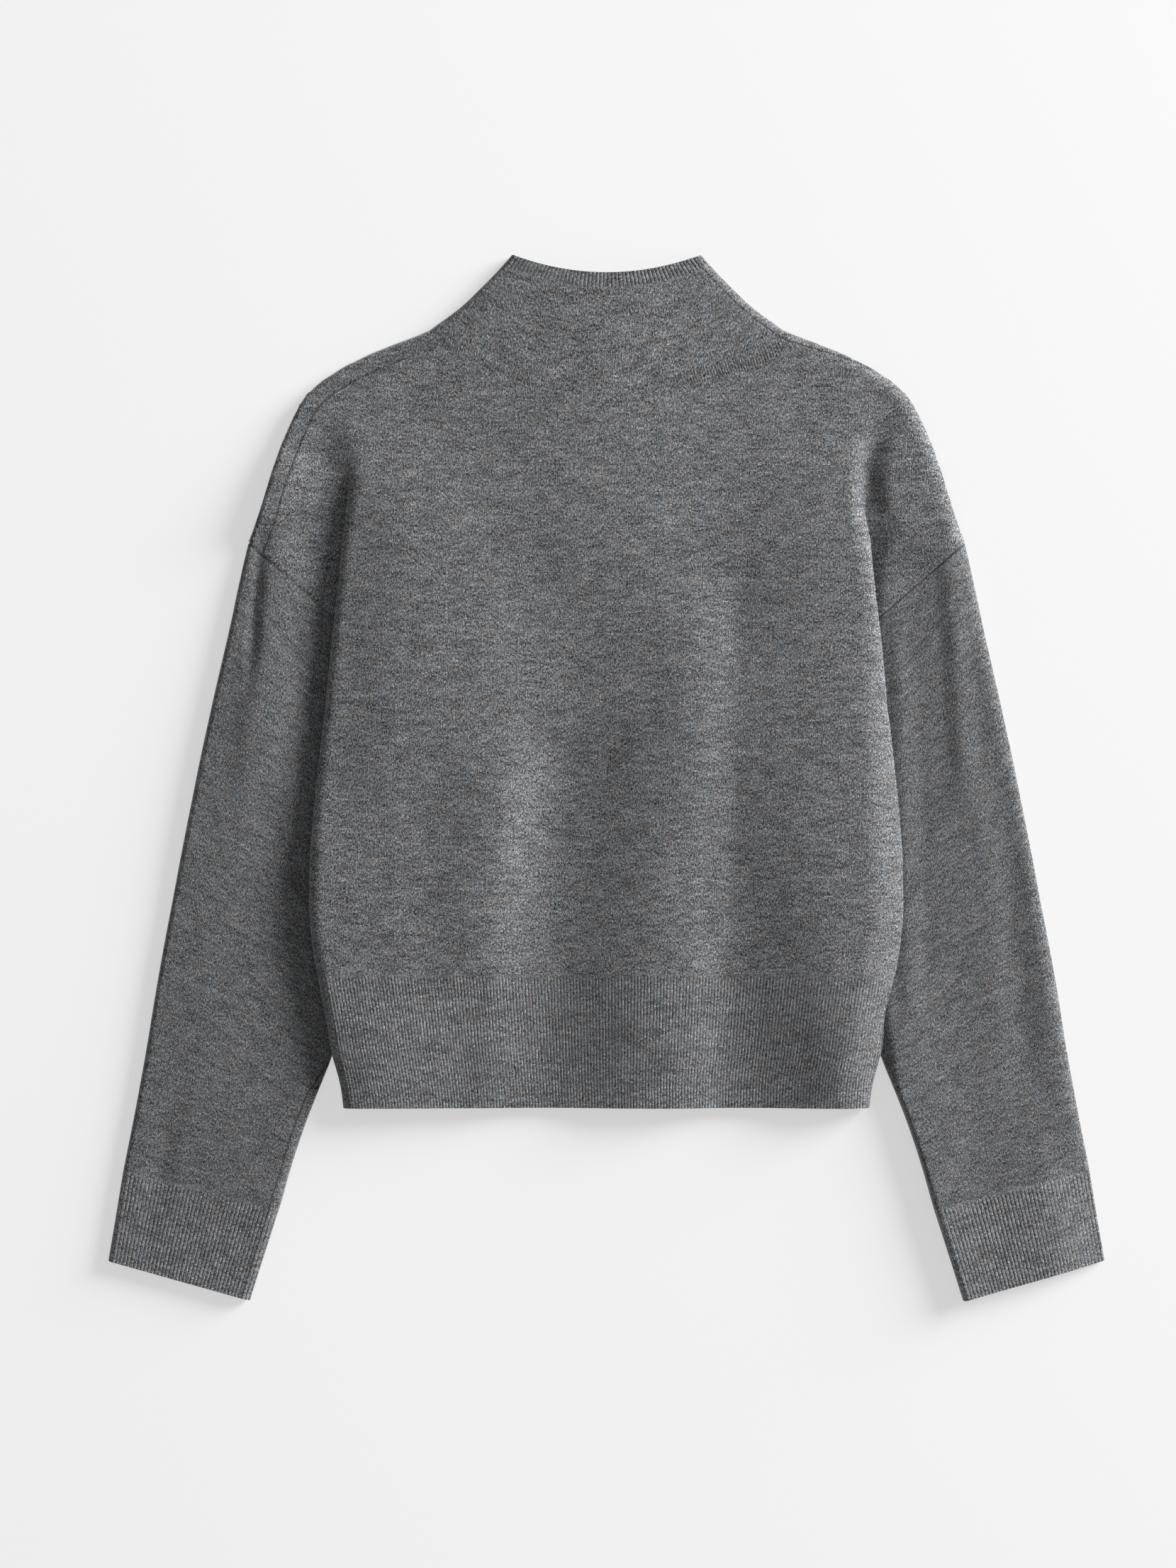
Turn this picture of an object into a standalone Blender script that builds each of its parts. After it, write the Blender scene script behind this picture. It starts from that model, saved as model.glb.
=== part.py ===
"""A fine-knit funnel-neck pullover, laid flat with its back up.

The garment lies on the XY plane: +X to the right, +Y towards the neck, +Z up.
Both arms are drawn down beside the body, so on each side a pleat runs from
the shoulder to the underarm, and the body's side lies over the sleeve.
Every piece is a knitted wall: rows or rings of points in the middle of the
cloth, thickened. Sizes are in millimetres, and the meshes are in metres.
A place is given as w, its distance from the middle line, and y.
"""
import math

import bmesh
import bpy

MM = 0.001

# Cloth
WALL = 2.0              # thickness of the knit
SEAM_GAP = 0.5          # between two pieces that are sewn together
CLEAR = 0.4             # between two layers that lie on each other

# Heights of the layers, each at the middle of its cloth
FLOOR_MID = WALL / 2
PRESSED_TOP = 4.2       # upper layer of a sleeve that lies under the body
SLEEVE_TOP = 6.2        # upper layer of a sleeve that lies free
FRONT_RAISED = PRESSED_TOP + WALL + CLEAR
BODY_LOFT = 2.2         # air between front and back
COLLAR_TOP = FLOOR_MID + WALL + CLEAR + BODY_LOFT
PRESS_WIDTH = 14.0      # a sleeve comes up beside the body over this width

# Body
RIB_Y = -133.0          # where the hem rib meets the body
HEM_Y = -223.0
UNDERARM_W = 116.0
UNDERARM_Y = 50.0
NOTCH = 20.0            # the front's side starts this far below the underarm
VALLEY_TOP_W = 172.0    # inner line of the pleat, where the pleat starts
VALLEY_TOP_Y = 222.0
PLEAT_FADE = 40.0       # the pleat's height dies out over this length
PLEAT_END = (0.0, 0.03, 0.12)   # points at a pleat row's end, as shares of its width
BESIDE_PLEAT = 6.0      # a row has a point this far outside the ridge
VALLEY_STEPS = 3        # faces round the pleat's valley, and round its ridge
RIDGE_STEPS = 4
NOTCH_EASE = 2.0        # the front is up on the sleeve this far above its own end
RAMP = 22.0             # the body comes down from the sleeve over this width
RAMP_MARGIN = 7.0

# Collar
NECK_W = 119.0          # base of the collar at its side
NECK_Y = 302.0
NECK_DROP = 53.0        # the base is lower by this at the middle
NECK_POWER = 2.5        # how late the base line turns up to the side
COLLAR_EDGE_W = 62.0    # top edge at its side
COLLAR_EDGE_Y = 353.0
COLLAR_DIP = 12.0       # the top edge is lower by this at the middle
RIB_EDGE_W = 70.5       # where the neck rib meets the collar, at the side
RIB_EDGE_Y = 344.5
RIB_EDGE_DIP = 15.5
COLLAR_STEPS = 4

# Outline of the shoulder from the neck to the tip, where the sleeve starts
SHOULDER = (
    # w       y
    (119.0, 302.0), (131.0, 297.0), (146.0, 291.3), (168.0, 281.7), (185.0, 272.1),
    (198.0, 262.3), (206.5, 252.8), (211.0, 243.4), (215.5, 233.8), (223.0, 214.6),
    (229.2, 195.4), (235.2, 176.2), (241.6, 158.5),
)

# Outline of the body's side
BODY_SIDE = (
    # y        w
    (-223.0, 177.0), (-205.0, 179.5), (-186.0, 184.6), (-165.0, 188.2), (-133.0, 194.2),
    (-105.0, 198.6), (-75.0, 199.7), (-30.0, 197.5), (10.0, 193.5), (50.0, 189.0),
    (90.0, 185.0), (125.0, 181.0), (160.0, 177.5), (195.0, 174.5), (222.0, 177.0),
    (245.0, 184.0),
)

# Sections of a sleeve from the armhole to the cuff, by outer and inner fold
SLEEVE = (
    # section      outer_w  outer_y  inner_w  inner_y
    ("armhole",      241.6,   158.5,   116.0,    50.0),
    ("upper arm",    254.5,   100.0,   130.0,     0.0),
    ("over elbow",   268.2,    40.0,   144.0,   -50.0),
    ("elbow",        280.7,   -20.0,   158.5,  -100.0),
    ("forearm",      292.3,   -80.0,   173.5,  -150.0),
    ("hem corner",   303.4,  -140.0,   187.0,  -190.0),
    ("low forearm",  313.4,  -200.0,   206.5,  -240.0),
    ("cuff seam",    326.0,  -265.5,   222.0,  -291.0),
)
CUFF = (
    ("cuff seam",    326.0,  -265.5,   222.0,  -291.0),
    ("cuff middle",  331.0,  -296.0,   232.0,  -322.0),
    ("cuff end",     336.2,  -327.0,   242.0,  -353.5),
)
PRESSED_ABOVE_Y = -205.0    # below this the sleeve is clear of the body

# Rows of the body under the shoulder: height at the side, and the outer end
BACK_ROWS = (
    # side_y  outer end   end_w
    (262.0,  "shoulder", 205.0),
    (245.0,  "shoulder", 216.5),
    (222.0,  "shoulder", 230.0),
    (195.0,  "shoulder", 240.6),
    (183.0,  "armhole",  234.0),
    (160.0,  "armhole",  213.0),
    (125.0,  "armhole",  183.0),
    (90.0,   "armhole",  150.0),
    (56.0,   "armhole",  124.0),
)
SIDE_ROWS = (10.0, -30.0, -70.0, -105.0, RIB_Y)
HEM_ROWS = (RIB_Y, -150.0, -168.0, -186.0, -205.0, HEM_Y)

# Soft folds of the back, as crests and, with a minus sign, troughs
FOLDS = (
    #  x       y_top   y_low  half_width  height
    (-148.0,    70.0,  -95.0,    26.0,      0.9),
    (-76.0,     75.0, -150.0,    32.0,      1.1),
    (32.0,     120.0, -300.0,    42.0,      1.2),
    (138.0,    120.0,  -60.0,    26.0,      0.8),
    (-20.0,    -20.0, -120.0,    20.0,     -0.7),
    (96.0,      90.0, -300.0,    26.0,     -0.9),
)
FOLD_FADE = 50.0        # a fold dies out over this length at each end

# Places of the points along a row, as shares of its width
BODY_SHARES = (0.93, 0.84, 0.744, 0.724, 0.64, 0.51, 0.38, 0.26, 0.13, 0.0)
PLAIN_SHARES = (1.0, 0.94, 0.80, 0.55, 0.34, 0.30, 0.26, 0.23, 0.20, 0.16, 0.11, 0.06, 0.0)
RING_SHARES = (1.0, 0.95, 0.90, 0.84, 0.77, 0.62, 0.46, 0.30, 0.15, 0.0)
TOP_SIDE_W = 160.0      # the pleat's line meets the shoulder here
TOP_END_W = 190.0
STEP_SHARE = 0.4        # above the pleat the body comes down over this share
CORNER_SHARE = 0.4      # the upper rows draw together over this share at their end
EDGE_STATION = 10       # the outermost point of a row below the underarm
BODY_STATION = 12       # from here inwards a row is the body, outside it the pleat
TURN_IN = (0.0, 1.8, 6.0)   # the back turns down along the shoulder, by rows
TURN_RISE = (0.0, 0.7, 1.0)
TURN_CLEAR = 1.0        # the turned edge ends this far over the front
NECK_EASE = 1.0         # a point this near the neck's corner belongs to the corner
NECK_RISE = 0.4         # where the turned edge stands at the corner
SIDE_TURN = (0.25, 0.72)    # middle of the turn at the body's side, in and up
FRONT_END = (1.0, 0.66, 0.33)   # points of the front outside the pleat's valley
FRONT_RAMP = (0.0, 4.0, 11.0, 18.0, 26.0)
FRONT_SHARES = (0.93, 0.815, 0.68, 0.54, 0.40, 0.27, 0.13, 0.0)
NOTCH_STATION = 4       # inside this point the front runs past the notch
ROLL_TURNS = (45, 0, -45)   # points round the fold of a flat tube, in degrees
ARM_SHARES = (0.0, 0.33, 0.67, 1.0)
ARM_STEPS = 100         # steps in which the body's edge is looked for across a sleeve
PRESSED_REACH = 0.95    # the press ends here where the body only touches the sleeve
FREE_REACH = 0.8

JERSEY = (0.150, 0.153, 0.160, 1.0)
RIB = (0.138, 0.140, 0.146, 1.0)
ROUGHNESS = 0.95


def ease(value):
    """Smooth step from 0 to 1."""
    value = min(max(value, 0.0), 1.0)
    return value * value * (3.0 - 2.0 * value)


def mix(start, end, share):
    return start + (end - start) * share


def along(table, key):
    """Read a table of (key, value) pairs, on straight runs."""
    rows = sorted(table)
    if key <= rows[0][0]:
        return rows[0][1]
    for (key_a, value_a), (key_b, value_b) in zip(rows, rows[1:]):
        if key <= key_b:
            return mix(value_a, value_b, (key - key_a) / (key_b - key_a))
    return rows[-1][1]


def body_side(y):
    return along(BODY_SIDE, y)


def sleeve_inner(y):
    """Inner fold of the sleeve, and above the underarm the pleat's valley."""
    if y > UNDERARM_Y:
        up = min((y - UNDERARM_Y) / (VALLEY_TOP_Y - UNDERARM_Y), 1.0)
        return mix(UNDERARM_W, VALLEY_TOP_W, up)
    return along([(row[4], row[3]) for row in SLEEVE], y)


def top_line(w):
    """Upper edge of front and back: the collar's base, then the shoulder."""
    if w < NECK_W:
        return NECK_Y - NECK_DROP * (1.0 - (w / NECK_W) ** NECK_POWER)
    return along(SHOULDER, w)


def armhole_line(w):
    _, tip_w, tip_y, low_w, low_y = SLEEVE[0]
    return mix(low_y, tip_y, (w - low_w) / (tip_w - low_w))


def lift(w, y):
    """1 where a sleeve or a pleat lies under the body, 0 at the middle."""
    start = sleeve_inner(y) - RAMP_MARGIN - RAMP
    return ease((w - start) / RAMP) * ease((VALLEY_TOP_Y + PLEAT_FADE - y) / PLEAT_FADE)


def front_height(w, y):
    """Middle of the front: on the floor, but over the sleeve at the side."""
    below = ease((UNDERARM_Y - y) / (NOTCH - NOTCH_EASE))
    return mix(FLOOR_MID, FRONT_RAISED, lift(w, y) * below)


def fold_height(x, y):
    height = 0.0
    for place, top, low, half_width, crest in FOLDS:
        across = ease(1.0 - abs(x - place) / half_width)
        height += crest * across * ease((top - y) / FOLD_FADE) * ease((y - low) / FOLD_FADE)
    return height


def back_height(w, y):
    """Middle of the back without its soft folds, over the front and the sleeves."""
    base = mix(FLOOR_MID, FRONT_RAISED, lift(w, y))
    return base + WALL + CLEAR + BODY_LOFT


def turned_height(rise):
    """Height of the back where it turns down to the front at the shoulder."""
    return mix(FLOOR_MID + WALL / 2 + TURN_CLEAR, COLLAR_TOP, rise)


def sleeve_height(w, y):
    """Middle of a sleeve's upper layer, pressed flat under the body."""
    if y < PRESSED_ABOVE_Y:
        return SLEEVE_TOP
    return mix(PRESSED_TOP, SLEEVE_TOP, ease((w - body_side(y) - WALL) / PRESS_WIDTH))


def arc(centre_w, centre_z, radius, start, end, steps):
    """Points of an arc across the cloth, between two angles in degrees."""
    points = []
    for step in range(steps + 1):
        angle = math.radians(mix(start, end, step / steps))
        points.append((centre_w + radius * math.cos(angle), centre_z + radius * math.sin(angle)))
    return points


# ------------------------------------------------------------- from points to cloth

def knit_material(name, colour):
    material = bpy.data.materials.new(name)
    material.use_nodes = True
    shader = material.node_tree.nodes["Principled BSDF"]
    shader.inputs["Base Color"].default_value = colour
    shader.inputs["Roughness"].default_value = ROUGHNESS
    return material


def cloth(name, rows, colour, closed=False, keep=None):
    """Join rows of points into a sheet, or rings into a tube, and thicken it."""
    shape = bmesh.new()
    grid = [[shape.verts.new([size * MM for size in point]) for point in row] for row in rows]
    count = len(rows[0])
    for row in range(len(rows) - 1):
        for column in range(count if closed else count - 1):
            if keep is None or keep(row, column):
                after = (column + 1) % count
                shape.faces.new((grid[row][column], grid[row + 1][column],
                                 grid[row + 1][after], grid[row][after]))
    unused = [vert for vert in shape.verts if not vert.link_faces]
    bmesh.ops.delete(shape, geom=unused, context="VERTS")
    mesh = bpy.data.meshes.new(name)
    shape.to_mesh(mesh)
    shape.free()
    mesh.shade_smooth()
    mesh.materials.append(knit_material(name + " knit", colour))
    piece = bpy.data.objects.new(name, mesh)
    bpy.context.scene.collection.objects.link(piece)
    wall = piece.modifiers.new("Wall", "SOLIDIFY")
    wall.thickness = WALL * MM
    wall.offset = 0.0
    wall.use_even_offset = True
    return piece


def both_sides(half):
    """A whole row from its right half, which runs from the outer end to the middle."""
    left = [(-w, y, z) for w, y, z in half]
    return left + half[-2::-1]


# ------------------------------------------------------------- back and front

def row_share(side_w, side_y):
    """How far down the body a row is, from 0 at the top to 1 at the rib."""
    return (top_line(side_w) - side_y) / (top_line(side_w) - RIB_Y)


def inner_points(side_w, side_y, last_w):
    """Points of a row of the back from its side to the middle."""
    points = []
    for share in BODY_SHARES:
        y = mix(top_line(share * side_w), RIB_Y, row_share(side_w, side_y))
        points.append((share * last_w, y, back_height(share * last_w, y)))
    return points


def back_top_row(turn):
    """A row along the upper edge, turned down to the front along the shoulder."""
    drop = TURN_IN[turn]
    half = []
    for index, share in enumerate(PLAIN_SHARES):
        w = mix(TOP_SIDE_W, TOP_END_W + drop, share)
        rise = min(TURN_RISE[turn], TURN_RISE[min(index, 2)])
        inset = drop * min((1.0 - share) / CORNER_SHARE, 1.0)
        half.append((w, top_line(w) - inset, turned_height(rise)))
    for share in BODY_SHARES:
        w = share * TOP_SIDE_W
        rise = TURN_RISE[turn] if w > NECK_W + NECK_EASE else 1.0
        if abs(w - NECK_W) < NECK_EASE:
            rise = max(TURN_RISE[turn], NECK_RISE)
        half.append((w, top_line(w) - drop, turned_height(rise)))
    return half


def back_plain_row(side_y, end_w):
    """A row above the pleat: flat, or stepping up to where the pleat starts."""
    side_w = body_side(side_y)
    end_y = top_line(end_w)
    high = back_height(side_w, side_y)
    half = []
    for index, share in enumerate(PLAIN_SHARES):
        height = mix(COLLAR_TOP, high, ease(1.0 - share / STEP_SHARE))
        if index < 2:
            height = turned_height(TURN_RISE[index])
        half.append((mix(side_w, end_w, share), mix(side_y, end_y, share), height))
    return half, side_w


def back_pleat_row(side_y, end_on, end_w):
    """A row through the pleat: out along the shoulder part, in under the body
    to the valley, out again to the ridge, and over the ridge onto the body."""
    ridge = body_side(side_y)
    high = back_height(ridge, side_y)
    bend = (FRONT_RAISED - PRESSED_TOP) / 2
    roll = (high - FRONT_RAISED) / 2
    valley = arc(sleeve_inner(side_y) + bend, PRESSED_TOP + bend, -bend, 90, -90, VALLEY_STEPS)
    over = arc(ridge - roll, FRONT_RAISED + roll, roll, -90, 90, RIDGE_STEPS)
    inner_w = valley[0][0]
    end_y = top_line(end_w) if end_on == "shoulder" else armhole_line(end_w)
    reach = end_w - inner_w
    places = [end_w - share * reach for share in PLEAT_END]
    places.append(min(ridge + BESIDE_PLEAT, (inner_w + end_w) / 2))
    half = []
    for index, w in enumerate(places):
        height = sleeve_height(w, side_y)
        if end_on == "shoulder" and index < 2:
            height = min(height, turned_height(TURN_RISE[index]))
        half.append((w, mix(side_y, end_y, (w - inner_w) / reach), height))
    half += [(w, side_y, z) for w, z in valley + over]
    return half, ridge - roll


def back_side_row(side_y):
    """A row below the underarm, turned down at the body's side to the front."""
    side = body_side(side_y)
    high = back_height(side, side_y)
    low = front_height(side, side_y) + WALL / 2 + CLEAR
    roll = (high - FRONT_RAISED) / 2
    unused = [(side, side_y, low)] * EDGE_STATION
    turn_in, turn_up = SIDE_TURN
    turned = [(side, side_y, low), (side - turn_in * roll, side_y, mix(low, high, turn_up)),
              (side - roll, side_y, high)]
    return unused + turned, side - roll


def with_folds(row, first):
    """Raise the soft folds on the part of a row that is the body's back."""
    last = len(row) - 1 - first
    return [(x, y, z + (fold_height(x, y) if first <= column <= last else 0.0))
            for column, (x, y, z) in enumerate(row)]


def build_back():
    halves = [back_top_row(turn) for turn in range(len(TURN_IN))]
    for side_y, end_on, end_w in BACK_ROWS:
        if side_y > VALLEY_TOP_Y:
            outer, last_w = back_plain_row(side_y, end_w)
        else:
            outer, last_w = back_pleat_row(side_y, end_on, end_w)
        halves.append(outer + inner_points(TOP_SIDE_W, side_y, last_w))
    underarm = len(halves) - 1
    for side_y in SIDE_ROWS:
        outer, last_w = back_side_row(side_y)
        halves.append(outer + inner_points(TOP_SIDE_W, side_y, last_w))
    rows = [with_folds(both_sides(half), BODY_STATION) for half in halves]
    last = len(rows[0]) - 1

    def keep(row, column):
        return row < underarm or EDGE_STATION <= column < last - EDGE_STATION
    cloth("back", rows, JERSEY, keep=keep)


def front_row(side_y, end_w, end_y):
    """A row of the front, from its outer end over the ramp to the middle."""
    inner_w = sleeve_inner(side_y)
    points = []
    for share in FRONT_END:
        w = mix(inner_w, end_w, share)
        points.append((w, mix(side_y, end_y, share), front_height(w, side_y)))
    share_down = row_share(VALLEY_TOP_W, side_y)
    ramp_foot = FRONT_RAMP[-1]
    places = [(inner_w - inset, VALLEY_TOP_W - inset) for inset in FRONT_RAMP]
    places += [((inner_w - ramp_foot) * share, (VALLEY_TOP_W - ramp_foot) * share)
               for share in FRONT_SHARES]
    for w, top_w in places:
        y = mix(top_line(top_w), RIB_Y, share_down)
        points.append((w, y, front_height(w, y)))
    return points


def build_front():
    halves = [front_row(top_line(VALLEY_TOP_W), TOP_END_W, top_line(TOP_END_W))]
    for side_y, end_on, end_w in BACK_ROWS:
        end_y = top_line(end_w) if end_on == "shoulder" else armhole_line(end_w)
        halves.append(front_row(side_y, end_w, end_y))
    underarm = len(halves) - 1
    for side_y in (UNDERARM_Y - NOTCH,) + SIDE_ROWS:
        halves.append(front_row(side_y, body_side(side_y), side_y))
    last = len(halves[0]) * 2 - 2

    def keep(row, column):
        return row != underarm or NOTCH_STATION <= column < last - NOTCH_STATION
    cloth("front", [both_sides(half) for half in halves], JERSEY, keep=keep)


# ------------------------------------------------------------- the tubes

def flat_ring(half_width, place, low_height, high_height):
    """A ring of a tube that lies flat. place gives x and y for a share of the
    half width, and the two heights are those of its lower and upper layer."""
    side_x, side_y = place(1.0)
    low, high = low_height(side_x, side_y), high_height(side_x, side_y)
    roll = (high - low) / 2
    inside = (half_width - roll) / half_width
    right = [share * inside for share in RING_SHARES]
    shares = [-share for share in right] + right[-2::-1]
    upper = [place(share) for share in shares]
    ring = [(x, y, high_height(x, y)) for x, y in upper]
    for turn in ROLL_TURNS:
        angle = math.radians(turn)
        x, y = place(inside + (1.0 - inside) * math.cos(angle))
        ring.append((x, y, low + roll + roll * math.sin(angle)))
    ring += [(x, y, low_height(x, y)) for x, y in reversed(upper)]
    for turn in reversed(ROLL_TURNS):
        angle = math.radians(turn)
        x, y = place(-inside - (1.0 - inside) * math.cos(angle))
        ring.append((x, y, low + roll + roll * math.sin(angle)))
    return ring


def build_hem_rib():
    rings = []
    for y in HEM_ROWS:
        level = y - SEAM_GAP if y == RIB_Y else y
        side = body_side(y)
        rings.append(flat_ring(
            side, lambda share: (share * side, level),
            lambda x, y: front_height(abs(x), y),
            lambda x, y: back_height(abs(x), y) + fold_height(x, y)))
    cloth("hem_rib", rings, RIB, closed=True)


def collar_place(share, side_w, side_y, dip, power):
    return share * side_w, side_y - dip * (1.0 - abs(share) ** power)


def collar_ring(rise, start, end):
    """A ring of the collar, part of the way from its lower edge to its upper edge.
    An edge is its half width, its height at the side, its dip and its power."""
    side_w, side_y, dip, power = [mix(low, high, rise) for low, high in zip(start, end)]
    return flat_ring(side_w, lambda share: collar_place(share, side_w, side_y, dip, power),
                     lambda x, y: FLOOR_MID, lambda x, y: COLLAR_TOP)


def build_collar():
    base = (NECK_W - WALL / 2, NECK_Y + SEAM_GAP, NECK_DROP, NECK_POWER)
    rib_low = (RIB_EDGE_W, RIB_EDGE_Y, RIB_EDGE_DIP, 2.0)
    rib_start = (RIB_EDGE_W, RIB_EDGE_Y + SEAM_GAP, RIB_EDGE_DIP, 2.0)
    top = (COLLAR_EDGE_W, COLLAR_EDGE_Y, COLLAR_DIP, 2.0)
    rings = [collar_ring(step / COLLAR_STEPS, base, rib_low) for step in range(COLLAR_STEPS + 1)]
    cloth("collar", rings, JERSEY, closed=True)
    cloth("neck_rib", [collar_ring(0.0, rib_start, top), collar_ring(1.0, rib_start, top)],
          RIB, closed=True)


def arm_ring(outer, inner, side):
    """A ring of a sleeve or cuff between its outer and inner fold, on one side."""
    length = math.dist(outer, inner)
    crossing = (PRESSED_REACH if inner[1] > PRESSED_ABOVE_Y else FREE_REACH) * length
    for step in range(ARM_STEPS):
        w = mix(outer[0], inner[0], step / ARM_STEPS)
        y = mix(outer[1], inner[1], step / ARM_STEPS)
        if y > PRESSED_ABOVE_Y and w < body_side(y) + WALL:
            crossing = length * step / ARM_STEPS
            break

    def point(reach, height=None):
        w = mix(outer[0], inner[0], reach / length)
        y = mix(outer[1], inner[1], reach / length)
        return side * w, y, sleeve_height(w, y) if height is None else height
    outer_roll = (sleeve_height(*outer) - FLOOR_MID) / 2
    inner_roll = (sleeve_height(*inner) - FLOOR_MID) / 2
    open_end = crossing - PRESS_WIDTH
    reaches = [mix(outer_roll, open_end, share) for share in ARM_SHARES]
    reaches += [mix(crossing, length - inner_roll, share) for share in ARM_SHARES]
    ring = [point(reach) for reach in reaches]
    for turn in ROLL_TURNS:
        angle = math.radians(turn)
        ring.append(point(length - inner_roll + inner_roll * math.cos(angle),
                          FLOOR_MID + inner_roll + inner_roll * math.sin(angle)))
    ring += [point(reach, FLOOR_MID) for reach in reversed(reaches)]
    for turn in reversed(ROLL_TURNS):
        angle = math.radians(turn)
        ring.append(point(outer_roll - outer_roll * math.cos(angle),
                          FLOOR_MID + outer_roll + outer_roll * math.sin(angle)))
    return ring


def arm_piece(name, sections, colour, side):
    """A tube through a table of sections, set off from its seam by SEAM_GAP."""
    rings = []
    for index, (_, outer_w, outer_y, inner_w, inner_y) in enumerate(sections):
        length = math.dist((outer_w, outer_y), (inner_w, inner_y))
        gap = SEAM_GAP if index == 0 else 0.0
        off_w = gap * (outer_y - inner_y) / length
        off_y = -gap * (outer_w - inner_w) / length
        rings.append(arm_ring((outer_w + off_w, outer_y + off_y),
                              (inner_w + off_w, inner_y + off_y), side))
    cloth(name, rings, colour, closed=True)


def main():
    for item in list(bpy.data.objects):
        bpy.data.objects.remove(item, do_unlink=True)
    build_front()
    build_back()
    build_hem_rib()
    build_collar()
    for side_name, side in (("left", -1), ("right", 1)):
        arm_piece("sleeve_" + side_name, SLEEVE, JERSEY, side)
        arm_piece("cuff_" + side_name, CUFF, RIB, side)


main()
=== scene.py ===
# %% [markdown]
# # A funnel-neck pullover in fine knit, laid flat with its back up
#
# A flat garment is not one shape but a stack of thin layers. This lesson
# knits each piece as a flat grid, lays it where the maker's piece lies, sews
# tubes by merging two edges, and gives every piece a real wall. The ribs are
# cut into the mesh, and the plain knit's stitches are drawn by the material.

import bisect
import math

import bmesh
import bpy
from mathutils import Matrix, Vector, noise as field


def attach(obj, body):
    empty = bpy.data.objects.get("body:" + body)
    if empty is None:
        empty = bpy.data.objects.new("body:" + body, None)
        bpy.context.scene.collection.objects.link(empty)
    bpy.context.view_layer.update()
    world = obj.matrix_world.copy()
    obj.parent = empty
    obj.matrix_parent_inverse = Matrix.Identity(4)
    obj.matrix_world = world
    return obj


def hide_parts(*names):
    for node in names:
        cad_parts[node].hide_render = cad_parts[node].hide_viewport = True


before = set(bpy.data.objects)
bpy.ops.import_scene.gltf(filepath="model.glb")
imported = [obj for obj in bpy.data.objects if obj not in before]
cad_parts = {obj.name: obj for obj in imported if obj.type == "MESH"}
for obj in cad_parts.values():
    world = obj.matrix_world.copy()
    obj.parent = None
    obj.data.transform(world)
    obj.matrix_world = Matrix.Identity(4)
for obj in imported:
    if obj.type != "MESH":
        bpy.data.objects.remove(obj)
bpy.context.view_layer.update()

# %% [markdown]
# ## Sizes
#
# A knitter works from a table of measures, and so does this script. Lengths
# are in millimetres. A place is given as w, its distance from the middle
# line, and y, because the outline is the same on both sides. The sleeve's
# table gives its outer and inner fold at each section. One long traced
# outline would do too, but a few measures are easier to read and to change.

# %% The garment's measures
MM = 0.001
LEFT, RIGHT = -1.0, 1.0             # the sign of x on each side
WALL = 1.6                          # thickness of the knit
FLOOR = 1.0                         # middle of the lowest layer
RIB_Y = -133.0                      # where the hem rib meets the body
HEM_Y = -223.0
UNDERARM = (116.0, 50.0)
TIP = (241.6, 158.5)                # the outer end of the armhole seam
NECK_W, NECK_Y = 119.0, 302.0       # where the collar's base meets the shoulder
NECK_DROP, NECK_POWER = 53.0, 2.5   # how far the base dips, and how squarely
PLEAT_W, PLEAT_TOP = 172.0, 222.0   # where the shoulder pleat's inner fold starts
SIDE_W = 160.0                      # the body's side line meets the shoulder here
SHOULDER = (
    # w       y
    (119.0, 302.0), (131.0, 297.0), (146.0, 291.3), (168.0, 281.7), (185.0, 272.1),
    (198.0, 262.3), (206.5, 252.8), (211.0, 243.4), (215.5, 233.8), (223.0, 214.6),
    (229.2, 195.4), (235.2, 176.2), (241.6, 158.5),
)
FUNNEL_SIDE = (
    # y        w
    (302.0, 119.0), (306.0, 113.8), (317.0, 98.8), (327.0, 88.2), (336.0, 79.0), (344.5, 71.0),
    (353.0, 63.5),
)
BODY_SIDE = (
    # y        w
    (-223.0, 177.0), (-205.0, 179.5), (-186.0, 184.6), (-165.0, 188.2), (-133.0, 194.2),
    (-105.0, 198.6), (-75.0, 199.7), (-30.0, 197.5), (10.0, 193.5), (50.0, 189.0),
    (90.0, 185.0), (125.0, 181.0), (160.0, 177.5), (195.0, 174.5), (222.0, 177.0),
    (232.0, 180.0), (245.0, 182.0), (258.0, 181.0), (272.0, 174.0), (285.1, 160.0),
)
SLEEVE = (
    # outer_w  outer_y  inner_w  inner_y
    (241.6,   158.5,   116.0,    50.0),
    (254.5,   100.0,   130.0,     0.0),
    (268.2,    40.0,   144.0,   -50.0),
    (280.7,   -20.0,   158.5,  -100.0),
    (292.3,   -80.0,   173.5,  -150.0),
    (303.4,  -140.0,   187.0,  -190.0),
    (313.4,  -200.0,   206.5,  -240.0),
    (326.0,  -265.5,   222.0,  -291.0),
)
CUFF = (
    (326.0,  -265.5,   222.0,  -291.0),
    (331.0,  -296.0,   232.0,  -322.0),
    (336.2,  -327.0,   242.0,  -353.5),
)
print("Hem to neck corner:", round(NECK_Y - HEM_Y), "mm; hem:", round(2 * BODY_SIDE[0][1]), "mm")

# %% [markdown]
# ## Blending values
#
# Soft goods have hardly a hard step in them, so most shapes below are a blend
# between two values. These three small functions do the blending.

# %% Blends
def ease(value):
    """Smooth step from 0 to 1."""
    value = min(max(value, 0.0), 1.0)
    return value * value * (3.0 - 2.0 * value)


def mix(start, end, share):
    return start + (end - start) * share


def evenly(start, end, count):
    """count values after start at equal steps, the last one at end."""
    return [mix(start, end, (step + 1) / count) for step in range(count)]


print("A soft step at 1/4, 1/2 and 3/4:", [ease(share / 4.0) for share in (1, 2, 3)])

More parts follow.
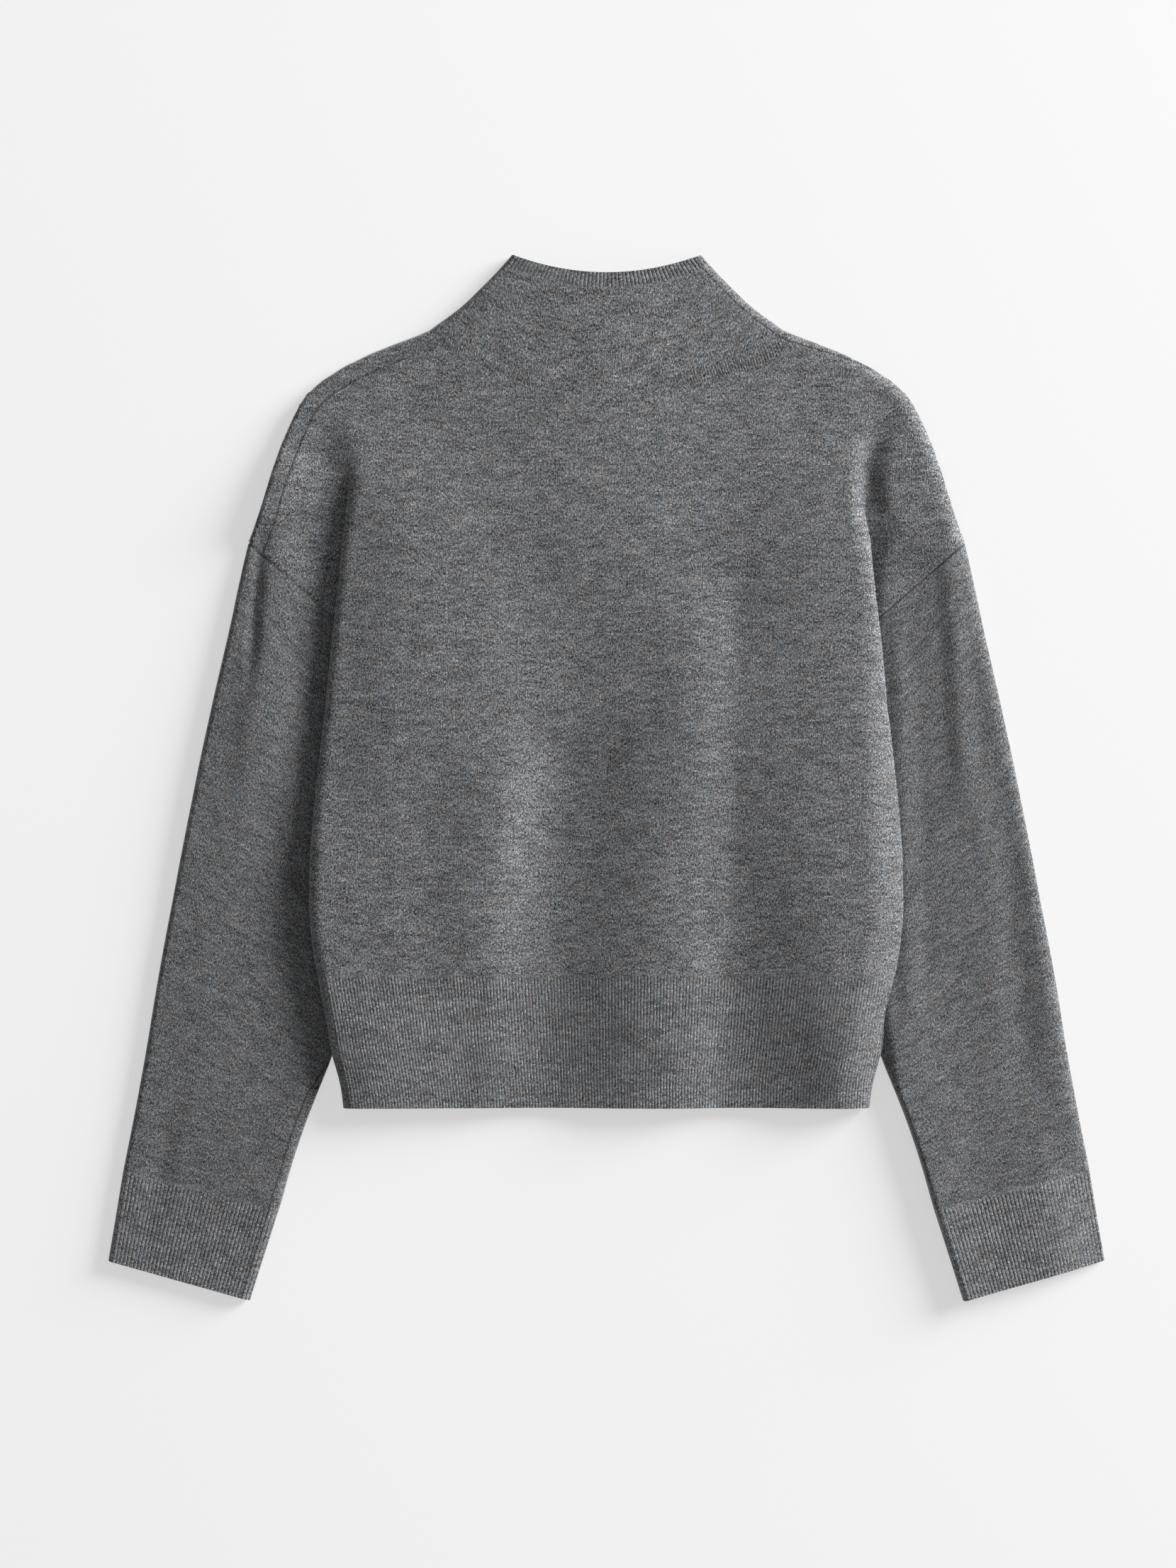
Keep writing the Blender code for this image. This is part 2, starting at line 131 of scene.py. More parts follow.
# %% [markdown]
# ## Reading the tables along smooth curves
#
# Real cloth has no corners between two measures. A Hermite curve through the
# rows of a table gives a smooth outline at any point in between. The straight
# reading is kept for lines that really have a corner, such as the underarm.

# %% Curves through tables
def smooth_curve(table):
    """A function that reads rows of (key, value) along a smooth curve."""
    rows = sorted(table)
    keys = [key for key, _ in rows]
    values = [value for _, value in rows]
    slopes = []
    for index in range(len(rows)):
        low, high = max(index - 1, 0), min(index + 1, len(rows) - 1)
        slopes.append((values[high] - values[low]) / (keys[high] - keys[low]))

    def read(key):
        key = min(max(key, keys[0]), keys[-1])
        index = min(bisect.bisect_right(keys, key) - 1, len(rows) - 2)
        span = keys[index + 1] - keys[index]
        t = (key - keys[index]) / span
        bend = (values[index] + span * slopes[index] * t,
                values[index + 1] - span * slopes[index + 1] * (1.0 - t))
        return mix(bend[0], bend[1], t * t * (3.0 - 2.0 * t))
    return read


def straight_curve(table):
    """A function that reads rows of (key, value) on straight runs."""
    rows = sorted(table)

    def read(key):
        if key <= rows[0][0]:
            return rows[0][1]
        for (key_a, value_a), (key_b, value_b) in zip(rows, rows[1:]):
            if key <= key_b:
                return mix(value_a, value_b, (key - key_a) / (key_b - key_a))
        return rows[-1][1]
    return read


STEEP_W = 180.0         # from here outwards the shoulder is read by its height
body_side = smooth_curve(BODY_SIDE)
shoulder_y = smooth_curve(SHOULDER)
funnel_side = smooth_curve(FUNNEL_SIDE)
outer_side = smooth_curve([(y, w) for w, y in SHOULDER if w > STEEP_W]
                          + [(row[1], row[0]) for row in SLEEVE[1:] + CUFF[1:]])
inner_side = straight_curve([(PLEAT_TOP, PLEAT_W)]
                            + [(row[3], row[2]) for row in SLEEVE + CUFF[1:]])
print("Body's half width at the chest:", round(body_side(0.0), 1), "mm")

# %% [markdown]
# ## Lines that several pieces share
#
# Two pieces that are sewn together end on the same line, so each line is
# written once: the top edge of front and back, the armhole, and the outer
# fold from the collar to the cuff. The distance to that fold is asked for
# often, because the cloth rounds over there and the seams run beside it.

# %% Top edge, armhole and outer fold
FOLD_REACH = 30.0                       # no place counts as further in than this
FUNNEL_GAP, SHOULDER_GAP, SLEEVE_GAP = 6, 5, 12     # from one point of the fold to the next


def top_line(w):
    """Upper edge of front and back: the collar's base, then the shoulder."""
    if w < NECK_W:
        return NECK_Y - NECK_DROP * (1.0 - (w / NECK_W) ** NECK_POWER)
    return shoulder_y(w)


def armhole_line(w):
    return mix(UNDERARM[1], TIP[1], (w - UNDERARM[0]) / (TIP[0] - UNDERARM[0]))


def armhole_distance(w, y):
    """How far a place is from the armhole seam, positive on the shoulder's side."""
    along_w, along_y = TIP[0] - UNDERARM[0], TIP[1] - UNDERARM[1]
    length = math.hypot(along_w, along_y)
    return ((y - UNDERARM[1]) * along_w - (w - UNDERARM[0]) * along_y) / length


def fold_points():
    """The outer fold from the collar's top edge down to the cuff's end."""
    collar_y, cuff_end = FUNNEL_SIDE[-1][0], CUFF[-1][:2]
    points = [(funnel_side(y), y) for y in range(int(collar_y), int(NECK_Y), -FUNNEL_GAP)]
    points += [(w, shoulder_y(w)) for w in range(int(NECK_W), int(TIP[0]), SHOULDER_GAP)]
    points += [(outer_side(y), y) for y in range(int(TIP[1]), int(cuff_end[1]), -SLEEVE_GAP)]
    return points + [cuff_end]


def fold_distance(w, y):
    """How far inside the outer fold a place is."""
    nearest = FOLD_REACH
    for (w_a, y_a), (w_b, y_b) in fold_runs:
        if y_a < y - nearest or y_b > y + nearest:
            continue
        run_w, run_y = w_b - w_a, y_b - y_a
        along = ((w - w_a) * run_w + (y - y_a) * run_y) / (run_w * run_w + run_y * run_y)
        along = min(max(along, 0.0), 1.0)
        nearest = min(nearest, math.hypot(w - w_a - run_w * along, y - y_a - run_y * along))
    return nearest


outer_fold = fold_points()
fold_runs = list(zip(outer_fold, outer_fold[1:]))
print("Outer fold:", len(fold_runs), "runs; armhole seam:", round(math.dist(UNDERARM, TIP)), "mm")

# %% [markdown]
# ## Soft folds
#
# A garment that is laid down by hand keeps a few soft folds. Each one is a
# straight line with a height, a width to its left and one to its right, and
# it dies out at both ends. A negative height is a trough. Folds could be
# sculpted too, but in a table they can be read, moved and shared by pieces.

# %% Soft folds of the body and the arms
BODY_FOLDS = (
    # x_top  y_top   x_low   y_low  width to the left, right   height
    (48.0,   160.0,   33.0, -320.0,   78.0,  46.0,      3.9),
    (94.0,   165.0,   83.0, -320.0,   32.0,  70.0,     -2.9),
    (-24.0,   55.0,  -54.0, -320.0,   42.0,  70.0,     -3.8),
    (-66.0,   50.0,  -88.0, -165.0,   50.0,  32.0,      4.2),
    (-150.0, -130.0, -158.0, -330.0,  64.0,  64.0,      2.8),
    (150.0, -120.0,  158.0, -330.0,   60.0,  36.0,      2.0),
    (-184.0, 215.0, -192.0,  -60.0,   50.0,  50.0,     -3.0),
    (-4.0,   420.0,   -8.0,  110.0,  150.0, 110.0,      3.4),
)
ARM_FOLDS = (
    (-222.0, 180.0, -246.0,  -30.0,   16.0,  20.0,      1.5),
    (-231.0, 190.0, -243.0,   40.0,    7.0,   7.0,     -2.2),
    (195.0,  130.0,  206.0, -190.0,   10.0,  14.0,      1.4),
    (228.0,  190.0,  245.0,  -40.0,   12.0,  14.0,      1.7),
    (264.0,   30.0,  288.0, -240.0,   18.0,  18.0,     -1.4),
    (184.0, -110.0,  226.0, -410.0,    8.0,  52.0,      3.2),
    (328.0, -215.0,  351.0, -410.0,   44.0,  14.0,     -6.0),
    (-292.0, -190.0, -312.0, -340.0,  16.0,  16.0,     -1.0),
)
FADE = 62.0             # a fold dies out over this length at each end


def folds_height(folds, x, y):
    """Sum of the folds at a place, each a soft crest or trough along its line."""
    height = 0.0
    for x_top, y_top, x_low, y_low, left, right, crest in folds:
        if y_low < y < y_top:
            aside = x - mix(x_low, x_top, (y - y_low) / (y_top - y_low))
            across = ease(1.0 - abs(aside) / (right if aside > 0.0 else left))
            ends = ease((y_top - y) / FADE) * ease((y - y_low) / FADE)
            height += crest * across * ends
    return height


print(len(BODY_FOLDS), "folds on the body,", len(ARM_FOLDS), "on the arms")

# %% [markdown]
# ## How the layers round and rise
#
# The arms are drawn down beside the body, so the sleeves run in under the
# body's sides, and at each shoulder a pleat carries the body over the sleeve.
# These small functions say where that happens and how the cloth rounds over
# at a fold. The left outer fold is pressed sharper than the right one.

# %% Rounding, rolls and ramps
LAYER = 2.1             # from the middle of one layer to the next one on it
EDGE_MID = 3.0          # height at which the cloth turns under at a fold
EDGE_ROUND = {LEFT: 1.7, RIGHT: 8.0}    # the outer fold's rounding reaches this far in
RAMP_MARGIN = 7.0       # a layer is fully raised this far inside the sleeve's inner fold
PLEAT_START = {LEFT: (214.0, 30.0), RIGHT: (192.0, 34.0)}    # its top, and its opening run
roll_reach = {
    LEFT: smooth_curve(((240.0, 4.0), (60.0, 6.0), (-150.0, 7.0), (-223.0, 6.0))),
    RIGHT: smooth_curve(((240.0, 4.0), (60.0, 5.0), (-150.0, 6.0), (-223.0, 6.0))),
}


def side_of(x):
    return RIGHT if x > 0.0 else LEFT


def roundness(distance, reach):
    """Quarter round: 0 at an edge, 1 from reach inwards."""
    inside = 1.0 - min(max(distance / reach, 0.0), 1.0)
    return math.sqrt(1.0 - inside * inside)


def edge_rise(x, y):
    """0 at the outer fold, 1 inside it."""
    share = fold_distance(abs(x), y) / EDGE_ROUND[side_of(x)]
    if x > 0.0:
        return roundness(share, 1.0)
    return math.sin(min(share, 1.0) * math.pi / 2.0)


def pleat_share(side, y):
    """0 where the shoulder lies flat, 1 where its pleat is folded."""
    start, run = PLEAT_START[side]
    return ease((start - y) / run)


def lift(w, y, ramp):
    """1 where a sleeve or a pleat lies under the body, 0 at the middle."""
    start = inner_side(y) - RAMP_MARGIN - ramp
    return ease((w - start) / ramp)


def flat_end(y, side):
    """Where the body's flat part ends and its rolled side begins."""
    return body_side(y) - roll_reach[side](y)


print("The rolled side is", round(roll_reach[LEFT](0.0), 1), "mm wide at the chest")

# %% [markdown]
# ## Height of the back
#
# The back lies on top of everything, so it is lofted: low in the middle and
# raised where a sleeve and a pleat lie under it. The right side slopes down
# to its rim, and outside each shoulder pleat the cloth sags into a valley. A
# cloth simulation could find such heights, but it is slow and hard to steer.
# With a height for every place, the layers are easy to keep apart.

# %% Height of the back
RAMP_WIDE = {LEFT: 104.0, RIGHT: 92.0}  # the climb from the middle to a raised side
RAISE_TOP, RAISE_RUN = 262.0, 60.0      # a side starts to be raised here, over this run
LOWEST_TOP = 3.3                        # the back never sinks below this
RIM_POWER, RIM_TOP, RIM_RUN = 1.7, 250.0, 50.0      # bend of the rim's slope, top, opening run
VALLEY = {LEFT: (4.6, 22.0, 36.0, 12.0), RIGHT: (5.5, 14.0, 14.0, 3.0)}
                        # depth, width towards the body, width outwards, place
VALLEY_TOP = {LEFT: (250.0, 42.0), RIGHT: (258.0, 72.0)}     # its top, and its opening run
VALLEY_END, VALLEY_FADE = 150.0, 40.0   # it ends here, and fades above it
ROLLED_BELOW = 190.0                    # below this the outer fold is the arm's, not the body's
middle_top = smooth_curve(((353.0, 6.0), (300.0, 7.0), (230.0, 8.8), (150.0, 10.8),
                           (60.0, 11.6), (-130.0, 11.4), (-223.0, 10.0)))
side_top = {
    LEFT: smooth_curve(((262.0, 8.4), (200.0, 13.0), (150.0, 15.4), (100.0, 16.2), (0.0, 16.6),
                        (-130.0, 16.4), (-190.0, 14.0), (-223.0, 11.0))),
    RIGHT: smooth_curve(((262.0, 9.0), (200.0, 13.4), (100.0, 15.6), (0.0, 17.4),
                         (-130.0, 17.4), (-190.0, 16.4), (-223.0, 14.6))),
}
rim_drop = smooth_curve(((240.0, 1.0), (200.0, 3.4), (110.0, 3.6), (60.0, 6.0), (20.0, 8.4),
                         (-150.0, 9.4), (-190.0, 7.6), (-223.0, 4.8)))
rim_wide = smooth_curve(((240.0, 12.0), (110.0, 12.0), (60.0, 17.0), (20.0, 20.0),
                         (-60.0, 23.0), (-223.0, 24.0)))


def back_height(x, y):
    """Middle of the back and the funnel, over the front, the sleeves and the pleats."""
    w, side = abs(x), side_of(x)
    raised = lift(w, y, RAMP_WIDE[side]) * ease((RAISE_TOP - y) / RAISE_RUN)
    height = mix(middle_top(y), side_top[side](y), raised) + folds_height(BODY_FOLDS, x, y)
    inside = max(body_side(y) - w, 0.0)
    if side == RIGHT and inside < rim_wide(y):
        slope = (1.0 - inside / rim_wide(y)) ** RIM_POWER
        height -= rim_drop(y) * slope * ease((RIM_TOP - y) / RIM_RUN)
    depth, inner_width, outer_width, place = VALLEY[side]
    past = w - body_side(y) - place
    valley = ease(1.0 - abs(past) / (inner_width if past < 0.0 else outer_width))
    valley_top, run = VALLEY_TOP[side]
    valley *= ease((valley_top - y) / run) * ease((y - VALLEY_END) / VALLEY_FADE)
    height = max(height - depth * valley, LOWEST_TOP)
    if y < ROLLED_BELOW and w < body_side(y) + inner_width:
        return height
    return mix(EDGE_MID, height, edge_rise(x, y))


print("Back in the middle:", round(back_height(0.0, 0.0), 1), "mm, over a sleeve:",
      round(back_height(180.0, 0.0), 1), "mm")

# %% [markdown]
# ## Height of the arms and the front
#
# An arm is low where the body presses on it and rises beside the body, slowly
# on the left and fast on the right. The armhole seam is a narrow groove with
# a lip beside it. The front lies on the surface and runs up over the sleeves.

# %% Height of the arms and the front
ARM_FREE_Y, ARM_FREE_RUN = -250.0, 45.0     # below this nothing presses on an arm
GROOVE_DEPTH, LIP_HEIGHT = {LEFT: 0.3, RIGHT: 0.6}, {LEFT: 0.2, RIGHT: 0.45}
GROOVE_WIDTH, LIP_PLACE = 1.1, 1.8
RAMP_FRONT = 22.0                           # the front climbs onto a sleeve over this width
FRONT_RISE = 18.0                           # and over this length, below the underarm
under_body = smooth_curve(((262.0, 3.5), (60.0, 3.6), (-205.0, 3.8), (-260.0, 4.0)))
free_arm = {
    LEFT: smooth_curve(((262.0, 6.4), (200.0, 6.2), (140.0, 7.2), (0.0, 8.2), (-100.0, 7.2),
                        (-353.0, 6.4))),
    RIGHT: smooth_curve(((262.0, 8.4), (150.0, 8.2), (60.0, 6.8), (0.0, 6.4), (-170.0, 6.6),
                         (-260.0, 8.4), (-353.0, 9.6))),
}
arm_reach = {           # from low to free takes this much width
    LEFT: smooth_curve(((262.0, 38.0), (180.0, 34.0), (110.0, 27.0), (40.0, 24.0), (0.0, 34.0),
                        (-50.0, 50.0), (-100.0, 66.0), (-205.0, 76.0))),
    RIGHT: smooth_curve(((262.0, 14.0), (-205.0, 14.0))),
}
tuck = {                # and starts this far inside the body's side, or outside it if negative
    LEFT: smooth_curve(((262.0, -10.0), (150.0, -12.0), (0.0, -11.0), (-50.0, -12.0),
                        (-205.0, -12.0))),
    RIGHT: smooth_curve(((262.0, 0.0), (150.0, 3.0), (110.0, 9.0), (70.0, 12.0),
                         (-205.0, 13.0))),
}


def arm_height(x, y):
    """Middle of the upper layer of an arm, from the shoulder to the cuff."""
    w, side = abs(x), side_of(x)
    beside = ease((w - body_side(y) + tuck[side](y)) / arm_reach[side](y))
    beside = mix(1.0, beside, ease((y - ARM_FREE_Y) / ARM_FREE_RUN))
    height = mix(under_body(y), free_arm[side](y), beside)
    height += folds_height(ARM_FOLDS, x, y) * beside
    from_armhole = armhole_distance(w, y)
    height -= GROOVE_DEPTH[side] * math.exp(-(from_armhole / GROOVE_WIDTH) ** 2)
    height += LIP_HEIGHT[side] * math.exp(-((from_armhole - LIP_PLACE) / GROOVE_WIDTH) ** 2)
    return mix(EDGE_MID, height, edge_rise(x, y))


def front_height(x, y):
    """Middle of the front, which lies on the surface and runs up over the sleeves."""
    below = ease((UNDERARM[1] - y) / FRONT_RISE) * lift(abs(x), y, RAMP_FRONT)
    return mix(FLOOR, arm_height(x, y) + LAYER, below) if below else FLOOR


print("Left sleeve:", round(arm_height(-180.0, -50.0), 1), "mm under the body,",
      round(arm_height(-260.0, -50.0), 1), "mm beside it")

# %% [markdown]
# ## What every piece of cloth gets
#
# Faces that point up or outwards, smooth shading with sharp cut edges, and a
# wall. Solidify gives the wall, half of it to each side, so the thin grid can
# be laid along the middle of the cloth. A thick mesh could be built at once,
# but a single layer is far easier to fold and to sew.

# %% Finish a piece of cloth
def add_object(name, data):
    """A new object at the origin, in the scene."""
    made = bpy.data.objects.new(name, data)
    bpy.context.scene.collection.objects.link(made)
    return made


def mesh_object(name, shape):
    """Turn a bmesh into an object."""
    mesh = bpy.data.meshes.new(name)
    shape.to_mesh(mesh)
    shape.free()
    return add_object(name, mesh)


def face_up(shape):
    """Turn the faces so that the highest one points up and a tube's point outwards."""
    shape.normal_update()
    highest = max(shape.faces, key=lambda face: face.calc_center_median().z)
    if highest.normal.z < 0:
        bmesh.ops.reverse_faces(shape, faces=shape.faces)
        shape.normal_update()


def finish_cloth(name, shape):
    """Smooth the cloth, keep its cut edges sharp and give it its wall."""
    face_up(shape)
    for face in shape.faces:
        face.smooth = True
    for edge in shape.edges:
        edge.smooth = not edge.is_boundary
    piece = mesh_object(name, shape)
    wall = piece.modifiers.new("Wall", "SOLIDIFY")
    wall.thickness = WALL * MM
    wall.offset = 0.0
    wall.use_even_offset = False
    wall.use_quality_normals = True
    print(name, "has", len(piece.data.polygons), "faces")
    return piece


print("Every piece gets a wall of", WALL, "mm")

# %% [markdown]
# ## From a grid to a knitted piece
#
# create_grid knits the flat piece: its columns are wales and its rows are
# courses. Each point is then laid in its place. The UV map keeps each point's
# place in the flat cloth, in metres, so the stitches follow the yarn wherever
# the cloth goes. A garment could be sculpted from one block, but then it
# would have no cut pieces, no inside and no open ends.

# %% Knit a flat piece and lay it
FAR = 50.0              # mm from a seam where there is none
MERGED = 0.00002        # metres; points closer than this become one


def lay_grid(name, points, closed=False, keep=None, relief=None, seam=None, fan=None):
    """Knit a grid and lay it. points[row][column] is (x, y, z, u, v) in mm."""
    rows, columns = len(points), len(points[0])
    shape = bmesh.new()
    uv = shape.loops.layers.uv.new("knit")
    from_seam, hollow, fan_along, fan_depth = [
        shape.verts.layers.float.new(layer)
        for layer in ("from_seam", "hollow", "fan_along", "fan_depth")]
    bmesh.ops.create_grid(shape, x_segments=columns - 1, y_segments=rows - 1, size=1.0)
    station = {}
    for vert in shape.verts:
        column = round((vert.co.x + 1.0) / 2.0 * (columns - 1))
        row = round((1.0 - vert.co.y) / 2.0 * (rows - 1))
        station[vert] = (row, column)
    for face in shape.faces:
        for loop in face.loops:
            row, column = station[loop.vert]
            _, _, _, u, v = points[row][column]
            loop[uv].uv = (u * MM, v * MM)
    for vert, (row, column) in station.items():
        x, y, z, _, _ = points[row][column]
        vert.co = Vector((x, y, z)) * MM
        vert[from_seam] = seam(x, y) if seam else FAR
        vert[fan_along], vert[fan_depth] = fan(x, y) if fan else (0.0, 0.0)
    if keep:
        cut = [face for face in shape.faces
               if not keep(min(station[v][0] for v in face.verts),
                           min(station[v][1] for v in face.verts))]
        bmesh.ops.delete(shape, geom=cut, context="FACES")
    if relief:
        face_up(shape)
        for vert, place in station.items():
            offset, vert[hollow] = relief(*place)
            vert.co += vert.normal * offset * MM
    if closed:
        bmesh.ops.remove_doubles(shape, verts=shape.verts, dist=MERGED)
    return finish_cloth(name, shape)


print("Sewn edges merge within", MERGED / MM, "mm")

# %% [markdown]
# ## From a knitted piece to a tube
#
# A tube is a flat piece whose side edges are merged with remove_doubles, just
# as a maker sews a sleeve. Its rows are closed rings. The points of a ring are
# spread evenly along it, so that wales and ribs keep their width. A flattened
# cylinder would do for a plain tube, but its faces wouldn't follow the wales.

# %% Sew a tube
TURN_ANGLES = (0, 12, 24, 36, 50, 66)   # stations in the turn at each fold
FOLD_TURN = 5.0                         # the turn reaches this far across a tube
LOW_ROUND = 4.0                         # rounding of the lower layer towards a fold


def running_length(line):
    """Length along a line of points, at each of them."""
    lengths = [0.0]
    for start, end in zip(line, line[1:]):
        lengths.append(lengths[-1] + math.dist(start, end))
    return lengths


def spaced(line, count):
    """count + 1 points at equal steps along a line of points, and its length."""
    lengths = running_length(line)
    points, index = [], 0
    for step in range(count + 1):
        reach = lengths[-1] * step / count
        while index < len(line) - 2 and lengths[index + 1] < reach:
            index += 1
        span = max(lengths[index + 1] - lengths[index], 1e-9)
        share = (reach - lengths[index]) / span
        points.append([mix(a, b, share) for a, b in zip(line[index], line[index + 1])])
    return points, lengths[-1]


def across_tube(length, count):
    """Distances across a flat tube, closer together at its two folds."""
    turns = [FOLD_TURN * (1.0 - math.cos(math.radians(angle))) for angle in TURN_ANGLES]
    middle = [mix(FOLD_TURN, length - FOLD_TURN, step / count) for step in range(count + 1)]
    return turns + middle + [length - turn for turn in reversed(turns)]


def close_ring(upper, lower):
    """One ring from the middle of the lower layer, round the first fold and back."""
    half = len(lower) // 2
    return lower[half:0:-1] + upper + lower[-2:half - 1:-1]


def sew_tube(name, rings, columns, lengths, relief=None, seam=None, fan=None):
    """A tube from closed rings of points. lengths gives each ring's place along it."""
    points = []
    for ring, v in zip(rings, lengths):
        line, around = spaced(ring, columns)
        points.append([(x, y, z, around * (column / columns - 0.5), v)
                       for column, (x, y, z) in enumerate(line)])
    return lay_grid(name, points, closed=True, relief=relief, seam=seam, fan=fan)


print("A fold turns over in", 2 * len(TURN_ANGLES), "stations of a tube")

# %% [markdown]
# ## Seams on the upper side
#
# A linked seam in fine knit is a thin dark line. Each point of a piece gets
# its distance past the seam, and the material draws the line where that is
# nothing. A strip of its own would be thinner than the knit's bumps, so the
# line is drawn. The left shoulder seam lies further in than the collar's seam
# on the right. Past its end a line must stop, so the distance is raised.

# %% Distance past a seam
SHOULDER_SEAM, COLLAR_SEAM, UNDERARM_SEAM = 11.5, 5.0, 6.0      # mm in from the fold
SHOULDER_SEAM_TOP, SHOULDER_SEAM_END = 284.0, 154.0
COLLAR_SEAM_END, UNDERARM_SEAM_TOP = 294.0, -215.0
SWERVE = 0.25           # past its end a line leaves its course at this rate
FOLD_LEAN = 0.95        # the sleeve's inner fold leans, so distances to it shrink by this
SEAM_NEAR = 5.0         # further from the armhole only the underarm seam counts
LAPPED = 0.9            # the shoulder's edge covers this much of the sleeve
FAINT = 0.2             # the left armhole's line is never closer, so it stays light


def body_seam(x, y):
    """Distance past the shoulder seam on the left, or the collar seam on the right."""
    if x < 0.0:
        past = fold_distance(-x, y) - SHOULDER_SEAM + SWERVE * max(SHOULDER_SEAM_END - y, 0.0)
        return past + math.copysign(max(y - SHOULDER_SEAM_TOP, 0.0), past)
    return fold_distance(x, y) - COLLAR_SEAM + SWERVE * max(COLLAR_SEAM_END - y, 0.0)


def underarm_seam(x, y):
    """Distance past the underarm seam, which only the left arm shows."""
    if x > 0.0:
        return FAR
    past = (-x - inner_side(y)) * FOLD_LEAN - UNDERARM_SEAM
    return past + SWERVE * max(y - UNDERARM_SEAM_TOP, 0.0)


def sleeve_seam(x, y):
    """Distance past the armhole seam near it, else past the underarm seam."""
    past = -armhole_distance(abs(x), y) - LAPPED
    if past > SEAM_NEAR:
        return underarm_seam(x, y)
    return past if x > 0.0 else max(abs(past), FAINT)


print("Shoulder seam:", SHOULDER_SEAM, "mm inside the fold; collar seam:", COLLAR_SEAM, "mm")

# %% [markdown]
# ## Wales that fan out at the collar's base
#
# Where the back narrows into the funnel, its wales fan out along the base and
# stand like short ribs. They are fine and shallow, so each point only gets
# its place along the base and the depth of the furrows there, and the
# material draws them with a bump and with painted shade in the furrows. The
# fan is deeper towards the shoulders.

# %% The fan at the collar's base
FAN_ENDS = {LEFT: (14.0, 116.0), RIGHT: (14.0, 124.0)}
FAN_TALL, FAN_DEEP = {LEFT: 13.0, RIGHT: 17.0}, {LEFT: 1.1, RIGHT: 1.6}
FAN_LEAN, FAN_SPREAD = 0.32, 1.06       # the wales lean outwards and spread along the base
FOOT_BELOW, FOOT_FADE = 1.5, 2.5        # they start below the foot line and deepen in this
INNER_FADE, OUTER_FADE = 60.0, 6.0
fan_foot = {
    LEFT: smooth_curve(((0.0, 258.0), (30.0, 260.0), (55.0, 266.0), (70.0, 272.0),
                        (91.5, 281.5), (104.0, 287.0), (112.0, 290.6))),
    RIGHT: smooth_curve(((0.0, 258.0), (30.0, 260.5), (55.0, 266.5), (68.5, 269.0),
                         (84.6, 273.7), (100.6, 278.5), (112.6, 284.2), (120.6, 290.0))),
}


def collar_fan(x, y):
    """Place along the collar's base, and how deep the furrows between its wales are."""
    side, w = side_of(x), abs(x)
    up = y - fan_foot[side](w)
    start, end = FAN_ENDS[side]
    depth = ease((up + FOOT_BELOW) / FOOT_FADE) * ease(1.0 - up / FAN_TALL[side])
    depth *= ease((w - start) / INNER_FADE) * ease((end - w) / OUTER_FADE) * FAN_DEEP[side]
    return (w + FAN_LEAN * up) * FAN_SPREAD, depth


print("The fan is", FAN_TALL[LEFT], "mm tall on the left and", FAN_TALL[RIGHT], "mm on the right")

# %% [markdown]
# ## The back: a row's outer part
#
# The back is the piece that shows most. Each row of its grid starts at the
# outer end, on the shoulder or the armhole seam, and runs in along the
# dropped shoulder, which is called the leaf here. The rows at the top edge
# follow the outline, and further down they get level.

# %% Stations of the dropped shoulder
LEAF, TURN, RETURN, RIDGE, INNER = 26, 4, 3, 9, 80      # stations in each part of half a row
OUTER_STATIONS = LEAF + TURN + RETURN
SIDE_TOP = shoulder_y(SIDE_W)           # a row is named by its y at the side line
TIP_ROW = 189.0                         # the row that starts at the tip
FOLLOW_RUN = 60.0                       # rows follow the outline above this much
LEAF_NEAR = (0.0, 0.5, 1.1, 1.9, 3.0, 4.4, 6.2, 8.4)    # closest stations are at the fold
NEAR_SHARE = 0.06                       # on a short leaf they are this share of it apart
end_w = straight_curve(((285.1, 190.0), (262.0, 205.0), (245.0, 216.5), (222.0, 230.0),
                        (200.0, 238.0), (TIP_ROW, 241.5), (178.0, 229.0), (160.0, 213.0),
                        (125.0, 183.0), (90.0, 150.0), (54.0, 121.5)))


def outer_end(side_y):
    """Where a row starts: on the outer fold, or on the armhole seam below the tip."""
    w = end_w(side_y)
    return w, shoulder_y(w) if side_y > TIP_ROW else armhole_line(w)


def follow_top(side_y):
    """1 at the top edge, whose rows follow the outline, 0 further down."""
    return 1.0 - ease((SIDE_TOP - side_y) / FOLLOW_RUN)


def leaf_places(side_y, inner):
    """Plan places of the dropped shoulder, from its outer end inwards."""
    (out_w, out_y), (in_w, in_y) = outer_end(side_y), inner
    length = math.dist((out_w, out_y), inner)
    steps = [min(near, length * NEAR_SHARE * index) for index, near in enumerate(LEAF_NEAR)]
    steps += evenly(steps[-1], length, LEAF - len(steps))
    follow = follow_top(side_y)
    places = []
    for step in steps:
        share = 1.0 - step / length
        w, y = mix(in_w, out_w, share), mix(in_y, out_y, share)
        if follow:
            y = mix(y, top_line(w) + (in_y - top_line(in_w)) * (1.0 - share), follow)
        places.append((w, y))
    return places


print("The row through the armhole's tip starts at w =", round(outer_end(TIP_ROW)[0], 1), "mm")

# %% [markdown]
# ## The back: pleat and rolled side
#
# From the leaf a row dives under the body, turns at the pleat's inner fold
# and comes back out. Then it rolls over the ridge onto the body. The roll's
# top follows the slope of the body beside it, so no edge shows where it ends.

# %% A folded pleat and the rolled side
TURN_ROUND = 1.1        # radius of the turn at the pleat's inner fold
PLEAT_PROBE = 5.0       # the pleat's height is taken this far inside the ridge


